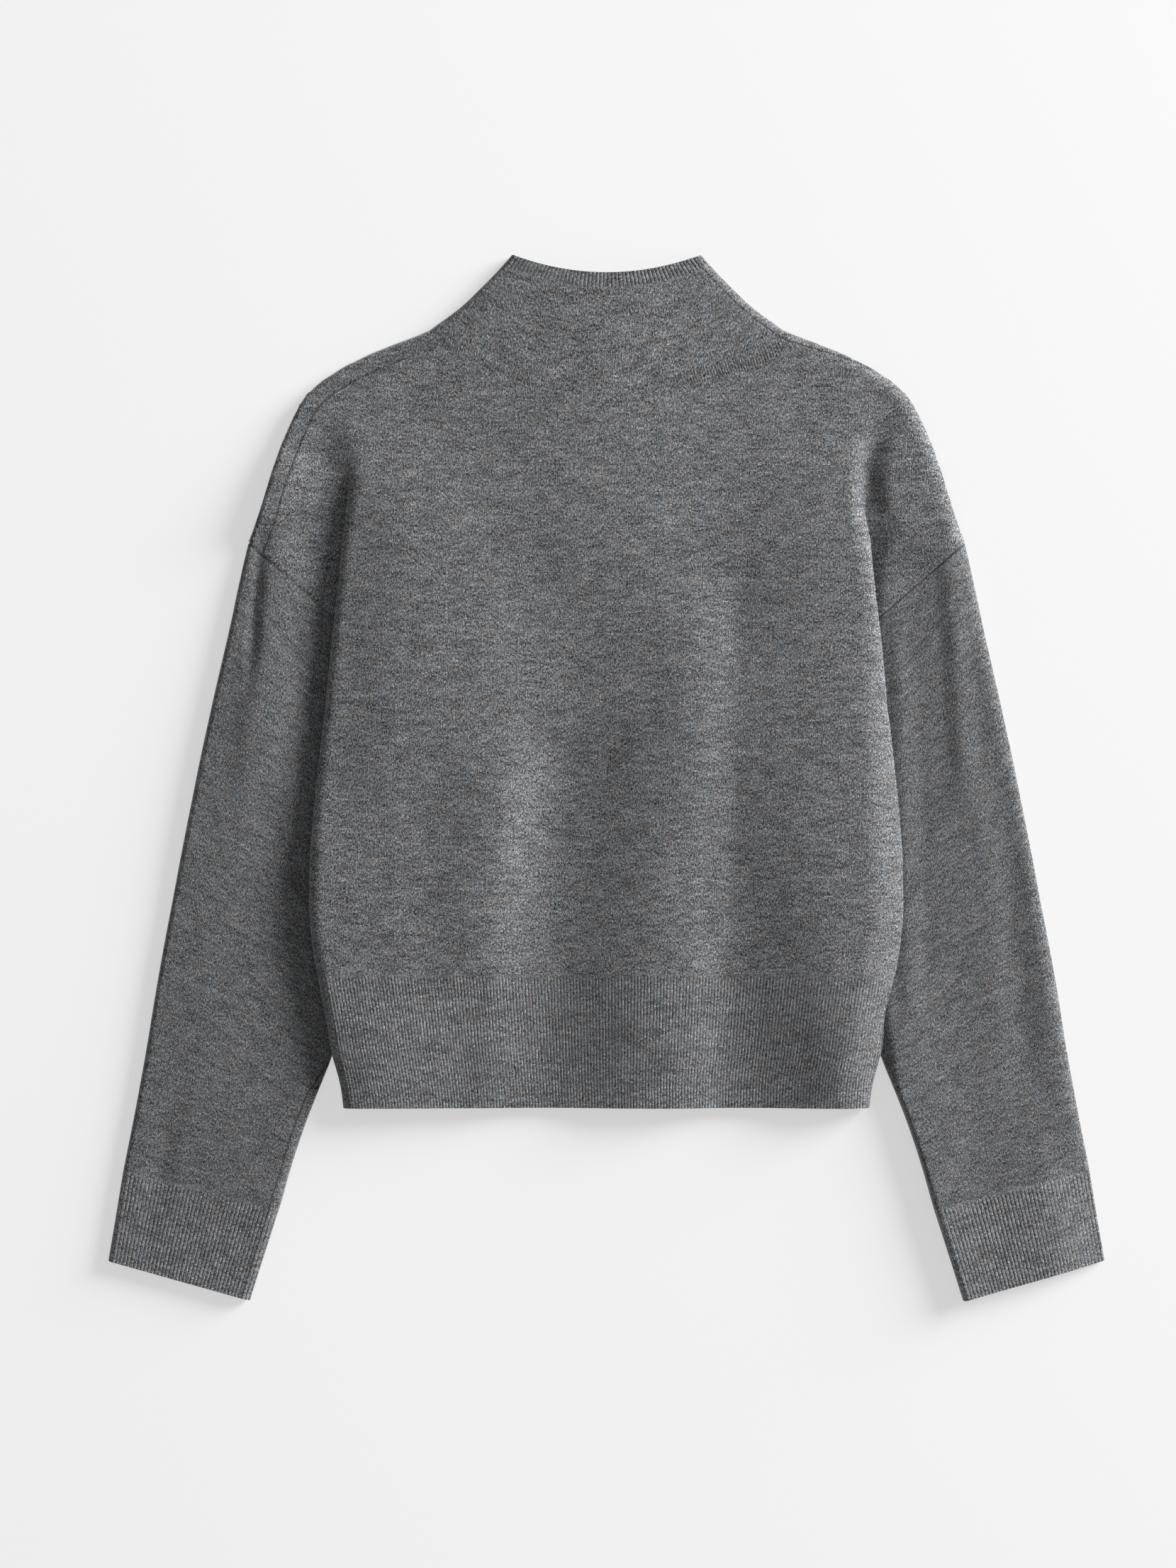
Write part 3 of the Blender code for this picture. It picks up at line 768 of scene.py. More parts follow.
def side_roll(side_y, side, bottom, steps=RIDGE):
    """The rolled side, from below round to the top, which still slopes where it ends."""
    rolled_w, roll = flat_end(side_y, side), roll_reach[side](side_y)
    points = []
    for step in range(steps):
        angle = math.radians(mix(-90.0, 90.0, step / steps))
        w = rolled_w + roll * math.cos(angle)
        top = back_height(side * w, side_y)
        points.append((w, side_y, mix(bottom, top, (1.0 + math.sin(angle)) / 2.0)))
    return points


def pleat_outer(side_y, side):
    """The outer stations of a row, with the pleat folded."""
    turn_w = inner_side(side_y) + TURN_ROUND
    low = arm_height(side * (body_side(side_y) - PLEAT_PROBE), side_y)
    half = [(w, y, arm_height(side * w, y)) for w, y in leaf_places(side_y, (turn_w, side_y))]
    for step in range(TURN):
        angle = math.radians(mix(-90.0, -270.0, (step + 1) / (TURN + 1)))
        half.append((turn_w + TURN_ROUND * math.cos(angle), side_y,
                     low + TURN_ROUND + TURN_ROUND * math.sin(angle)))
    bottom = low + LAYER
    for step in range(RETURN):
        share = step / RETURN
        half.append((mix(turn_w, flat_end(side_y, side), share), side_y,
                     mix(low + 2.0 * TURN_ROUND, bottom, share)))
    return half + side_roll(side_y, side, bottom)


print("Stations from the seam to the ridge:", OUTER_STATIONS + RIDGE)

# %% [markdown]
# ## The back: above the pleat
#
# A grid has the same number of stations in every row. So above the pleat the
# stations that fold further down lie flat, close together at the side line.

# %% A row above the pleat
PLAIN_HALF = 6.0        # an unfolded pleat takes this much on each side of the side line


def way_down(side_y):
    """0 for the row at the top edge, 1 for the row at the hem rib."""
    return (SIDE_TOP - side_y) / (SIDE_TOP - RIB_Y)


def plain_outer(side_y, side):
    """The outer stations of a row above the pleat, laid flat."""
    side_w = body_side(side_y)

    def row_y(w):
        return side_y + (top_line(w) - top_line(side_w)) * (1.0 - way_down(side_y))
    inner = (side_w + PLAIN_HALF, row_y(side_w + PLAIN_HALF))
    half = [(w, y, back_height(side * w, y)) for w, y in leaf_places(side_y, inner)]
    rest = TURN + RETURN + RIDGE
    for step in range(rest):
        w = side_w + mix(PLAIN_HALF, -PLAIN_HALF, (step + 1) / (rest + 1))
        half.append((w, row_y(w), back_height(side * w, row_y(w))))
    return half


print("Stations that lie flat at each side line:", TURN + RETURN + RIDGE)

# %% [markdown]
# ## The back: whole rows
#
# Where the pleat opens, the flat row and the folded row are mixed point by
# point. Below the underarm a row only has the body and its rolled side. The
# UV runs along the cloth, through the pleat, but on the leaf it is the leaf's
# own place, so that the yarn isn't sheared.

# %% Half a row, and its place in the flat cloth
LAST_PLEAT_Y = 54.0


def back_half(side_y, side):
    """Half a row of the back, from its outer end to the middle."""
    last_w, top_w = flat_end(side_y, side), SIDE_W
    if side_y >= LAST_PLEAT_Y:
        folded = pleat_share(side, side_y)
        plain = plain_outer(side_y, side)
        pleat = pleat_outer(side_y, side) if folded else plain
        half = [[mix(a, b, folded) for a, b in zip(p, q)] for p, q in zip(plain, pleat)]
        last_w = mix(body_side(side_y) - PLAIN_HALF, last_w, folded)
        top_w = mix(SIDE_W - PLAIN_HALF, SIDE_W, folded)
    else:
        half = side_roll(side_y, side, front_height(side * last_w, side_y))
        half = [half[0]] * OUTER_STATIONS + half
    for step in range(INNER + 1):
        share = 1.0 - step / INNER
        w = share * last_w
        y = mix(top_line(share * top_w), RIB_Y, way_down(side_y))
        half.append((w, y, back_height(side * w, y)))
    return half


def with_uv(half, side):
    """Add each point's place in the flat cloth: u from the middle, v up the body."""
    out, reach = [], 0.0
    last_w, _, last_z = half[-1]
    for index, (w, y, z) in enumerate(reversed(half)):
        reach += math.hypot(w - last_w, z - last_z)
        last_w, last_z = w, z
        u = w if index >= len(half) - LEAF else reach
        out.append((side * w, y, z, side * u, y))
    return out[::-1]


print("Points in a row of the back:", 2 * len(back_half(0.0, LEFT)) - 1)

# %% [markdown]
# ## The back: knit it
#
# The rows are closest at the top edge, where the cloth rounds over. Below the
# underarm the stations of leaf and pleat have no cloth, so their faces are
# deleted.

# %% Knit the back
TOP_DROPS = (0.0, 0.5, 1.2, 2.1, 3.2, 4.6, 6.3, 8.3)    # the first rows, down from the top
PLEAT_ROW, BODY_ROW = 2.3, 2.4                          # from one row to the next
pleat_drop = SIDE_TOP - LAST_PLEAT_Y
pleat_rows = round((pleat_drop - TOP_DROPS[-1]) / PLEAT_ROW)
drops = list(TOP_DROPS) + evenly(TOP_DROPS[-1], pleat_drop, pleat_rows)
underarm_row = len(drops) - 1
drops += evenly(pleat_drop, SIDE_TOP - RIB_Y, round((LAST_PLEAT_Y - RIB_Y) / BODY_ROW))
back_rows = []
for drop in drops:
    left, right = [with_uv(back_half(SIDE_TOP - drop, side), side) for side in (LEFT, RIGHT)]
    back_rows.append(left + right[-2::-1])
back_columns = len(back_rows[0]) - 1


def back_keep(row, column):
    inside = OUTER_STATIONS <= column < back_columns - OUTER_STATIONS
    return row < underarm_row or inside


back = lay_grid("back_panel", back_rows, keep=back_keep, seam=body_seam, fan=collar_fan)
print("Back:", len(back_rows), "rows of", back_columns + 1, "points")

# %% [markdown]
# ## The front
#
# The front lies on the surface, and the back hides it, so a coarser grid is
# enough. Its sides run over the sleeves below the underarm, where the back
# rolls down to meet them.

# %% Knit the front
FRONT_OUT, FRONT_CLIMB, FRONT_IN = 8, 8, 34     # stations in each part of half a row
FRONT_ROW = 3.2                                 # from one row to the next
FRONT_INSET, FRONT_SLANT = 1.2, 0.6             # it ends inside the back's edge
FRONT_TUCK = 0.4                                # and inside the rolled side
NOTCH_Y = 30.0                                  # its side edge starts here, under the arm
NOTCH_STATION = FRONT_OUT + FRONT_CLIMB


def front_half(side_y, end, side):
    """Half a row of the front, from its outer end to the middle."""
    inner_w = min(inner_side(side_y), end[0])
    places = [(mix(end[0], inner_w, step / FRONT_OUT), mix(end[1], side_y, step / FRONT_OUT))
              for step in range(FRONT_OUT)]
    down = (top_line(PLEAT_W) - side_y) / (top_line(PLEAT_W) - RIB_Y)
    foot = RAMP_FRONT + RAMP_MARGIN
    climb = [foot * step / FRONT_CLIMB for step in range(FRONT_CLIMB)]
    pairs = [(inner_w - reach, PLEAT_W - reach) for reach in climb]
    for step in range(FRONT_IN + 1):
        share = 1.0 - step / FRONT_IN
        pairs.append(((inner_w - foot) * share, (PLEAT_W - foot) * share))
    places += [(w, mix(top_line(top_w), RIB_Y, down)) for w, top_w in pairs]
    return [(side * w, y, front_height(side * w, y), side * w, y) for w, y in places]


front_ends = []
side_y = top_line(PLEAT_W)
while side_y > LAST_PLEAT_Y:
    w, y = outer_end(side_y)
    front_ends.append((side_y, (w - FRONT_INSET, y - FRONT_INSET * FRONT_SLANT)))
    side_y -= FRONT_ROW
notch_row = len(front_ends) - 1
side_rows = evenly(NOTCH_Y, RIB_Y, round((NOTCH_Y - RIB_Y) / FRONT_ROW))
front_ends += [(side_y, None) for side_y in [NOTCH_Y] + side_rows]
front_rows = []
for side_y, end in front_ends:
    left, right = [front_half(side_y, end or (flat_end(side_y, side) - FRONT_TUCK, side_y), side)
                   for side in (LEFT, RIGHT)]
    front_rows.append(left + right[-2::-1])
front_columns = len(front_rows[0]) - 1


def front_keep(row, column):
    return row != notch_row or NOTCH_STATION <= column < front_columns - NOTCH_STATION


front = lay_grid("front_panel", front_rows, keep=front_keep)
print("Front:", len(front_rows), "rows of", front_columns + 1, "points")

# %% [markdown]
# ## Ribs cut into the mesh
#
# A one-by-one rib is a row of round cords with a narrow furrow between them.
# Each rib gets six columns, so its round top and sharp furrow are real shape,
# which shows at a low angle. The ribs fade in below the line where the plain
# knit ends, because both are knitted in one go. In patches the furrows are
# nearly closed, as on a rib that has been worn.

# %% Relief of a rib
RIB_PROFILE = (0.0, 0.75, 1.0, 1.0, 1.0, 0.75)
RIB_COLUMNS = len(RIB_PROFILE)
RIB_FADE = 3.0
OPEN_LEAST = 0.42                   # a furrow that is nearly closed, against an open one
OPEN_RIBS, OPEN_LONG = 26, 78.0     # size of a patch, in ribs across and mm along
OPEN_SWING = 0.9


def rib_count(ring, pitch):
    """How many whole ribs go round a ring."""
    return round(running_length(ring)[-1] / pitch)


def rib_relief(height, distances, seed):
    """Offset of a rib's point and how hollow it lies, for painted shade, fading in over the first
    rows.
    """
    def at(row, column):
        fade = ease(distances[row] / RIB_FADE)
        rib = column // RIB_COLUMNS
        patch = Vector((rib / OPEN_RIBS, distances[row] / OPEN_LONG, seed))
        opened = mix(OPEN_LEAST, 1.0, ease(0.5 + OPEN_SWING * field.noise(patch)))
        low = 1.0 - RIB_PROFILE[column % RIB_COLUMNS]
        return -height * fade * opened * low, fade * opened * low
    return at


print("Columns in a rib:", RIB_COLUMNS)

# %% [markdown]
# ## The hem rib
#
# The hem rib is a tube. Its rings run round the front and the back and take
# the same rolled sides as the body above, so the two meet without a step. It
# draws in towards the hem. It could be knitted as part of the back and the
# front, but its ribs need columns that are far narrower than the plain knit's.

# %% Hem rib
HEM_PITCH, HEM_DEEP, HEM_SEED = 2.16, 0.45, 1.0     # rib width, furrow depth, patch seed
HEM_ROLL = 18                                       # stations on a rolled side
BODY_ACROSS = 60                                    # stations on half a flat layer
HEM_MEASURED = 8                                    # the ribs are counted on this ring
HEM_ROWS = (0.0, 0.7, 1.5, 2.6, 4.2, 7.0, 11.0, 16.0, 21.4, 26.8, 32.2, 37.6, 43.0, 48.4,
            53.8, 59.2, 64.6, 70.0, 75.4, 80.8, 85.2, 88.4, 90.0)


def body_ring(y):
    """A closed ring round the body: from the middle of the front, under the left
    side, over the back, under the right side and back to the middle."""
    half = {}
    for side in (LEFT, RIGHT):
        edge = flat_end(y, side)
        inside = [edge * step / BODY_ACROSS for step in range(BODY_ACROSS)]
        low = [(side * w, y, front_height(side * w, y)) for w in inside]
        rolled = side_roll(y, side, front_height(side * edge, y), HEM_ROLL)
        turn = [(side * w, y, z) for w, y, z in rolled]
        high = [(side * w, y, back_height(side * w, y)) for w in [edge] + inside[::-1]]
        half[side] = low + turn + high
    return half[LEFT] + half[RIGHT][-2::-1]


hem_levels = [RIB_Y - row for row in HEM_ROWS]
hem_rings = [body_ring(level) for level in hem_levels]
hem_ribs = rib_count(hem_rings[HEM_MEASURED], HEM_PITCH)
hem = sew_tube("hem_ribbing", hem_rings, hem_ribs * RIB_COLUMNS, hem_levels,
               rib_relief(HEM_DEEP, HEM_ROWS, HEM_SEED))
print("Hem:", hem_ribs, "ribs")

# %% [markdown]
# ## Rings of an arm
#
# A sleeve is one flat piece with its edges sewn together under the arm. Its
# rings follow the table of sections. The lower layer lies on the surface, the
# upper one follows the arm's height, and both round into the folds. A bent
# cylinder could be squashed to this, but it would have too few points just
# where the cloth turns over.

# %% Rings of an arm
INNER_ROUND = {LEFT: 8.0, RIGHT: 1.8}   # the upper layer's rounding at the inner fold
ARM_ACROSS = 60                         # stations across the flat part of an arm


def arm_ring(section, side):
    """A closed ring from the middle of the lower layer round the outer fold."""
    outer_w, outer_y, inner_w, inner_y = section
    length = math.dist((outer_w, outer_y), (inner_w, inner_y))
    upper, lower = [], []
    for reach in across_tube(length, ARM_ACROSS):
        share = reach / length
        w, y = mix(outer_w, inner_w, share), mix(outer_y, inner_y, share)
        inner_round = roundness(length - reach, INNER_ROUND[side])
        upper.append((side * w, y, mix(EDGE_MID, arm_height(side * w, y), inner_round)))
        low_round = roundness(min(reach, length - reach), LOW_ROUND)
        lower.append((side * w, y, mix(EDGE_MID, FLOOR, low_round)))
    return close_ring(upper, lower)


def section_lengths(sections):
    """Running length of a table of sections, down the middle of the arm."""
    return running_length([((row[0] + row[2]) / 2, (row[1] + row[3]) / 2) for row in sections])


def arm_rings(sections, shares, side):
    """A ring at each share of the way down a table of sections."""
    lengths = section_lengths(sections)
    row_at = straight_curve(list(zip(lengths, range(len(lengths)))))
    folds = [smooth_curve(list(enumerate(column))) for column in zip(*sections)]
    rows = [row_at(share * lengths[-1]) for share in shares]
    return [arm_ring([fold(row) for fold in folds], side) for row in rows]


print("Sleeve:", round(section_lengths(SLEEVE)[-1]), "mm long; cuff:",
      round(section_lengths(CUFF)[-1]), "mm")

# %% [markdown]
# ## Sleeves and cuffs
#
# The sleeve's rows are closest at the armhole seam, where they have to draw
# its groove. A cuff is a tube of ribs that carries on from the sleeve's end.

# %% Knit and sew both arms
SEAM_ROWS = (0.0, 0.6, 1.2, 2.0, 3.2, 4.8)
SLEEVE_ROWS, SLEEVE_COLUMNS = 170, 190
CUFF_PITCH, CUFF_SEED = 2.57, 4.0
CUFF_DEEP = {LEFT: 0.55, RIGHT: 0.44}   # the right cuff is stretched a little flatter
CUFF_ROWS = (0.0, 0.7, 1.5, 2.6, 4.2, 7.0, 11.0, 16.0, 21.0, 26.0, 31.0, 36.0, 41.0,
             46.0, 51.0, 56.0, 60.0, 62.6, 63.6)


def knit_sleeve(name, side):
    length = section_lengths(SLEEVE)[-1]
    shares = [row / length for row in SEAM_ROWS]
    shares += evenly(shares[-1], 1.0, SLEEVE_ROWS)
    return sew_tube(name, arm_rings(SLEEVE, shares, side), SLEEVE_COLUMNS,
                    [-share * length for share in shares], seam=sleeve_seam)


def knit_cuff(name, side):
    length = section_lengths(CUFF)[-1]
    shares = [min(row / length, 1.0) for row in CUFF_ROWS]
    rings = arm_rings(CUFF, shares, side)
    ribs = rib_count(rings[len(rings) // 2], CUFF_PITCH)
    print(name, "has", ribs, "ribs")
    return sew_tube(name, rings, ribs * RIB_COLUMNS, [-share * length for share in shares],
                    rib_relief(CUFF_DEEP[side], CUFF_ROWS, CUFF_SEED + side), underarm_seam)


sleeve_left = knit_sleeve("sleeve_left_knit", LEFT)
cuff_left = knit_cuff("cuff_left_ribbing", LEFT)
sleeve_right = knit_sleeve("sleeve_right_knit", RIGHT)
cuff_right = knit_cuff("cuff_right_ribbing", RIGHT)

# %% [markdown]
# ## The funnel and its rib edge
#
# The funnel is a short tube that narrows upwards. Its base follows the neck
# line and its top edge dips a little at the back. Every ring is a flattened
# curve of its own width, height and dip, blended from the base to the edge.

# %% The funnel
FUNNEL_BASE = (NECK_Y, NECK_DROP, NECK_POWER)       # height, dip and the dip's squareness
FUNNEL_RIB = (344.5, 15.0, 2.0)
FUNNEL_TOP = (353.0, 12.0, 2.0)
FUNNEL_ROWS, FUNNEL_COLUMNS, FUNNEL_ACROSS = 34, 260, 90
FUNNEL_TALL = 66.0                                  # length of its cloth at the middle


def funnel_ring(start, end, rise):
    """A ring from the middle of the lower layer round the left side."""
    side_y, dip, power = [mix(low, high, rise) for low, high in zip(start, end)]
    side_w = funnel_side(side_y)
    upper, lower = [], []
    for reach in across_tube(2.0 * side_w, FUNNEL_ACROSS):
        share = 1.0 - reach / side_w
        x, y = -share * side_w, side_y - dip * (1.0 - abs(share) ** power)
        near = min(reach, 2.0 * side_w - reach)
        upper.append((x, y, back_height(x, y)))
        lower.append((x, y, mix(EDGE_MID, FLOOR, roundness(near, LOW_ROUND))))
    return close_ring(upper, lower)


rises = [step / FUNNEL_ROWS for step in range(FUNNEL_ROWS + 1)]
funnel = sew_tube("funnel_collar", [funnel_ring(FUNNEL_BASE, FUNNEL_RIB, rise) for rise in rises],
                  FUNNEL_COLUMNS, [NECK_Y - NECK_DROP + FUNNEL_TALL * rise for rise in rises],
                  seam=body_seam, fan=collar_fan)
print("Funnel:", len(rises), "rings")

# %% [markdown]
# ## The neck's rib edge
#
# The narrow rib at the top is knitted on in the same go. It is built like the
# hem rib, with furrows of about the same depth.

# %% The neck's rib edge
NECK_PITCH, NECK_DEEP, NECK_SEED = 2.64, 0.48, 8.0
NECK_ROWS = (0.0, 0.7, 1.5, 2.6, 4.2, 6.5, 9.0, 11.0, 12.0)
neck_rings = [funnel_ring(FUNNEL_RIB, FUNNEL_TOP, row / NECK_ROWS[-1]) for row in NECK_ROWS]
neck_ribs = rib_count(neck_rings[len(neck_rings) // 2], NECK_PITCH)
neck_rib = sew_tube("neck_ribbing", neck_rings, neck_ribs * RIB_COLUMNS, NECK_ROWS,
                    rib_relief(NECK_DEEP, NECK_ROWS, NECK_SEED), body_seam)
print("Neck edge:", neck_ribs, "ribs")

# %% [markdown]
# ## Node groups
#
# A finish that several materials share is a node group: it is built once and
# placed in each material with its own values. In Blender 4 the sockets of a
# group are made through its interface.

# %% Make and place a node group
def new_group(name, inputs, outputs):
    """A node group with its sockets, and its input and output nodes."""
    group = bpy.data.node_groups.new(name, "ShaderNodeTree")
    for socket, kind, value in inputs:
        made = group.interface.new_socket(name=socket, in_out="INPUT", socket_type=kind)
        if value is not None:
            made.default_value = value
    for socket, kind in outputs:
        group.interface.new_socket(name=socket, in_out="OUTPUT", socket_type=kind)
    return group, group.nodes.new("NodeGroupInput"), group.nodes.new("NodeGroupOutput")


def place_group(tree, group, place, values):
    """A node group in a material, reading the cloth's place, with its own values."""
    node = tree.nodes.new("ShaderNodeGroup")
    node.node_tree = group
    for socket, value in values.items():
        node.inputs[socket].default_value = value
    tree.links.new(place, node.inputs["Place"])
    return node


print("Blender", bpy.app.version_string, "makes group sockets with interface.new_socket")

# %% [markdown]
# ## Small helpers for shader nodes
#
# Materials here are built in code, node by node. These helpers make one node
# each and link what it reads, so that the recipes below read like sums.

# %% Node helpers
def maths(tree, operation, first, second=None, third=None):
    """A Math node whose inputs are sockets or numbers. Returns its output."""
    node = tree.nodes.new("ShaderNodeMath")
    node.operation = operation
    for socket, value in zip(node.inputs, (first, second, third)):
        if value is None:
            continue
        if isinstance(value, (int, float)):
            socket.default_value = value
        else:
            tree.links.new(value, socket)
    return node.outputs[0]


def speckle(tree, vector, scale, detail=2.0, roughness=0.5):
    """Noise in the plane of the cloth, from 0 to 1."""
    node = tree.nodes.new("ShaderNodeTexNoise")
    node.noise_dimensions = "2D"
    node.inputs["Scale"].default_value = scale
    node.inputs["Detail"].default_value = detail
    node.inputs["Roughness"].default_value = roughness
    tree.links.new(vector, node.inputs["Vector"])
    return node.outputs["Fac"]


def stretched(tree, vector, across, up):
    """The cloth's place with its two directions scaled apart."""
    node = tree.nodes.new("ShaderNodeMapping")
    node.inputs["Scale"].default_value = (across, up, 1.0)
    tree.links.new(vector, node.inputs["Vector"])
    return node.outputs[0]


print("Helpers:", ", ".join(helper.__name__ for helper in (maths, speckle, stretched)))

# %% [markdown]
# ## Heather yarn
#
# Heather yarn is spun from light and dark fibres, so every stitch differs a
# little from its neighbour, and no colour field is flat. Five layers of noise
# give single fibres, stitches and long streaks along the courses. A slow
# noise tints the yarn between a warm and a cool grey. A picture of yarn could
# be laid on instead, but it would repeat, and noise is sharp at any size.

# %% Heather tones
YARN_LAYERS = (
    # across   up    scale    detail  weight
    (1.0,      0.60, 2200.0,  1.0,    0.75),
    (1.2,      0.70, 1100.0,  1.0,    0.62),
    (1.1,      0.90,  560.0,  1.0,    0.38),
    (0.4,      1.00,  260.0,  1.0,    0.20),
    (0.4,      1.00,   95.0,  3.0,    0.14),
)
WARM_GREY, COOL_GREY = (1.045, 0.99, 0.98, 1.0), (0.91, 1.01, 1.09, 1.0)
DARKEST, TONE_POWER = 0.04, 2.2
TINT_SCALE, TINT_DETAIL, TINT_ROUGHNESS = 130.0, 4.0, 0.6


def build_heather():
    """Tone is how light the yarn looks, from 0 to 1. Shade darkens furrows and seams."""
    group, given, out = new_group(
        "Heather yarn",
        [("Place", "NodeSocketVector", None), ("Tone", "NodeSocketFloat", 0.45),
         ("Contrast", "NodeSocketFloat", 1.0), ("Shade", "NodeSocketFloat", 1.0)],
        [("Colour", "NodeSocketColor"), ("Fibres", "NodeSocketFloat")])
    place = given.outputs["Place"]
    fibres = -0.5 * sum(layer[-1] for layer in YARN_LAYERS)
    for across, up, scale, detail, weight in YARN_LAYERS:
        grain = speckle(group, stretched(group, place, across, up), scale, detail)
        fibres = maths(group, "MULTIPLY_ADD", grain, weight, fibres)
    tone = maths(group, "MULTIPLY_ADD", fibres, given.outputs["Contrast"], given.outputs["Tone"])
    tone = maths(group, "POWER", maths(group, "MAXIMUM", tone, DARKEST), TONE_POWER)
    tone = maths(group, "MULTIPLY", tone, given.outputs["Shade"])
    tint = speckle(group, place, TINT_SCALE, TINT_DETAIL, TINT_ROUGHNESS)
    hue = group.nodes.new("ShaderNodeMix")
    hue.data_type = "RGBA"
    hue.inputs["A"].default_value = WARM_GREY
    hue.inputs["B"].default_value = COOL_GREY
    group.links.new(maths(group, "MULTIPLY_ADD", tint, 2.0, -0.5), hue.inputs["Factor"])
    colour = group.nodes.new("ShaderNodeVectorMath")
    colour.operation = "SCALE"
    group.links.new(hue.outputs["Result"], colour.inputs[0])
    group.links.new(tone, colour.inputs["Scale"])
    group.links.new(colour.outputs[0], out.inputs["Colour"])
    group.links.new(fibres, out.inputs["Fibres"])
    return group


heather = build_heather()
print("Made the group", heather.name)

# %% [markdown]
# ## Stitches of the plain knit
#
# A plain knit stitch is a V of two slanted legs. Sine waves over the cloth's
# place, folded at the middle of each wale, give the V, and the gap between
# the legs gets painted shade. The place is in metres, so a stitch keeps its size.
# Hundreds of thousands of modelled loops would look no better from here.

# %% Plain knit stitches
LEG_SLANT = 1.3                         # a leg climbs by this many courses across a wale
LEG_WAVE, LEG_HEIGHT = 0.25, 0.75


def build_stitches():
    """Height of V-shaped stitches. Wale and Course are a stitch's width and height."""
    group, given, out = new_group(
        "Plain stitches",
        [("Place", "NodeSocketVector", None), ("Wale", "NodeSocketFloat", 0.00144),
         ("Course", "NodeSocketFloat", 0.00105)],
        [("Height", "NodeSocketFloat"), ("Gap", "NodeSocketFloat")])
    split = group.nodes.new("ShaderNodeSeparateXYZ")
    group.links.new(given.outputs["Place"], split.inputs[0])
    wale = maths(group, "DIVIDE", split.outputs["X"], given.outputs["Wale"])
    course = maths(group, "DIVIDE", split.outputs["Y"], given.outputs["Course"])
    leg = maths(group, "ABSOLUTE", maths(group, "SUBTRACT", maths(group, "FRACT", wale), 0.5))
    slanted = maths(group, "MULTIPLY_ADD", leg, LEG_SLANT, course)
    along = maths(group, "SINE", maths(group, "MULTIPLY", slanted, 2.0 * math.pi))
    across = maths(group, "SINE", maths(group, "MULTIPLY", leg, 2.0 * math.pi))
    dome = maths(group, "MULTIPLY_ADD", along, LEG_WAVE, LEG_HEIGHT)
    height = maths(group, "MULTIPLY", dome, maths(group, "ABSOLUTE", across))
    group.links.new(height, out.inputs["Height"])
    gap = maths(group, "SUBTRACT", 1.0, height)
    group.links.new(maths(group, "MULTIPLY", gap, gap), out.inputs["Gap"])
    return group


stitches = build_stitches()
print("Made the group", stitches.name)

# %% [markdown]
# ## Seam lines, furrows and the collar's fan
#
# The points of the mesh carry their distance past a seam, how hollow they lie
# in a rib, and their place in the collar's fan. This group turns these into a
# shade and a height. The shade is a seam's dark line and painted shade in the
# furrows of ribs and fan. The painted shade is broken up, because loose fibres
# bridge the furrows here and there.

# %% Seams and furrows
SEAM_DARK, SEAM_DEEP, SEAM_SOFT = 0.65, 1.5, 0.4
STRIP_DARK = 0.07                       # the strip between a seam and the fold beside it
FURROW_SHADE = 0.6
FAN_PITCH, FAN_FURROW, FAN_SHARP = 1.9, 0.8, 2.0        # mm between two wales, depth, narrowness
FIBRE_SCALE, FIBRE_STRETCH = 900.0, 0.4


def build_furrows():
    """Shade and Height of seam lines, rib furrows and the fan. Distances are in mm."""
    group, given, out = new_group(
        "Seams and furrows",
        [("Place", "NodeSocketVector", None), ("From Seam", "NodeSocketFloat", FAR),
         ("Hollow", "NodeSocketFloat", 0.0), ("Fan Along", "NodeSocketFloat", 0.0),
         ("Fan Depth", "NodeSocketFloat", 0.0)],
        [("Shade", "NodeSocketFloat"), ("Height", "NodeSocketFloat")])
    from_seam = given.outputs["From Seam"]
    away = maths(group, "ABSOLUTE", from_seam)
    line = maths(group, "SUBTRACT", 1.0, maths(group, "SMOOTH_MIN", away, 1.0, SEAM_SOFT))
    line = maths(group, "MAXIMUM", line, 0.0)
    strip = maths(group, "LESS_THAN", from_seam, 0.0)
    turns = maths(group, "MULTIPLY", given.outputs["Fan Along"], 2.0 * math.pi / FAN_PITCH)
    wave = maths(group, "MAXIMUM", maths(group, "COSINE", turns), 0.0)
    wave = maths(group, "POWER", wave, FAN_SHARP)
    fan = maths(group, "MULTIPLY", wave, given.outputs["Fan Depth"])
    furrow = maths(group, "ADD", given.outputs["Hollow"], fan)
    fibres = speckle(group, stretched(group, given.outputs["Place"], 1.0, FIBRE_STRETCH),
                     FIBRE_SCALE, 1.0)
    # Painted shade in rib and fan furrows, broken up by noise
    dark = maths(group, "MULTIPLY_ADD", fibres, -4.0 * FURROW_SHADE, FURROW_SHADE)
    shade = maths(group, "MULTIPLY_ADD", furrow, dark, 1.0)
    for mark, darkness in ((line, SEAM_DARK), (strip, STRIP_DARK)):
        lighter = maths(group, "MULTIPLY_ADD", mark, -darkness, 1.0)
        shade = maths(group, "MULTIPLY", shade, lighter)
    group.links.new(shade, out.inputs["Shade"])
    height = maths(group, "MULTIPLY", line, -SEAM_DEEP)
    height = maths(group, "MULTIPLY_ADD", fan, -FAN_FURROW, height)
    group.links.new(height, out.inputs["Height"])
    return group


furrows = build_furrows()
print("Made the group", furrows.name)

# %% [markdown]
# ## A knit
#
# A wool surface is rough, and its loose fibres catch the light at a low
# angle, which the sheen gives. The yarn, the stitches and the marks on the
# mesh come together here: colour goes to the base colour and stitches to a
# bump, while the shape of the ribs is in the mesh.

# %% A knit's material
WOOL = {"Roughness": 0.92, "Specular IOR Level": 0.15, "Sheen Weight": 0.3,
        "Sheen Roughness": 0.45}
BUMP_DISTANCE = 0.0004
MARKS = {"From Seam": "from_seam", "Hollow": "hollow", "Fan Along": "fan_along",
         "Fan Depth": "fan_depth"}              # the group's inputs and the mesh's layers


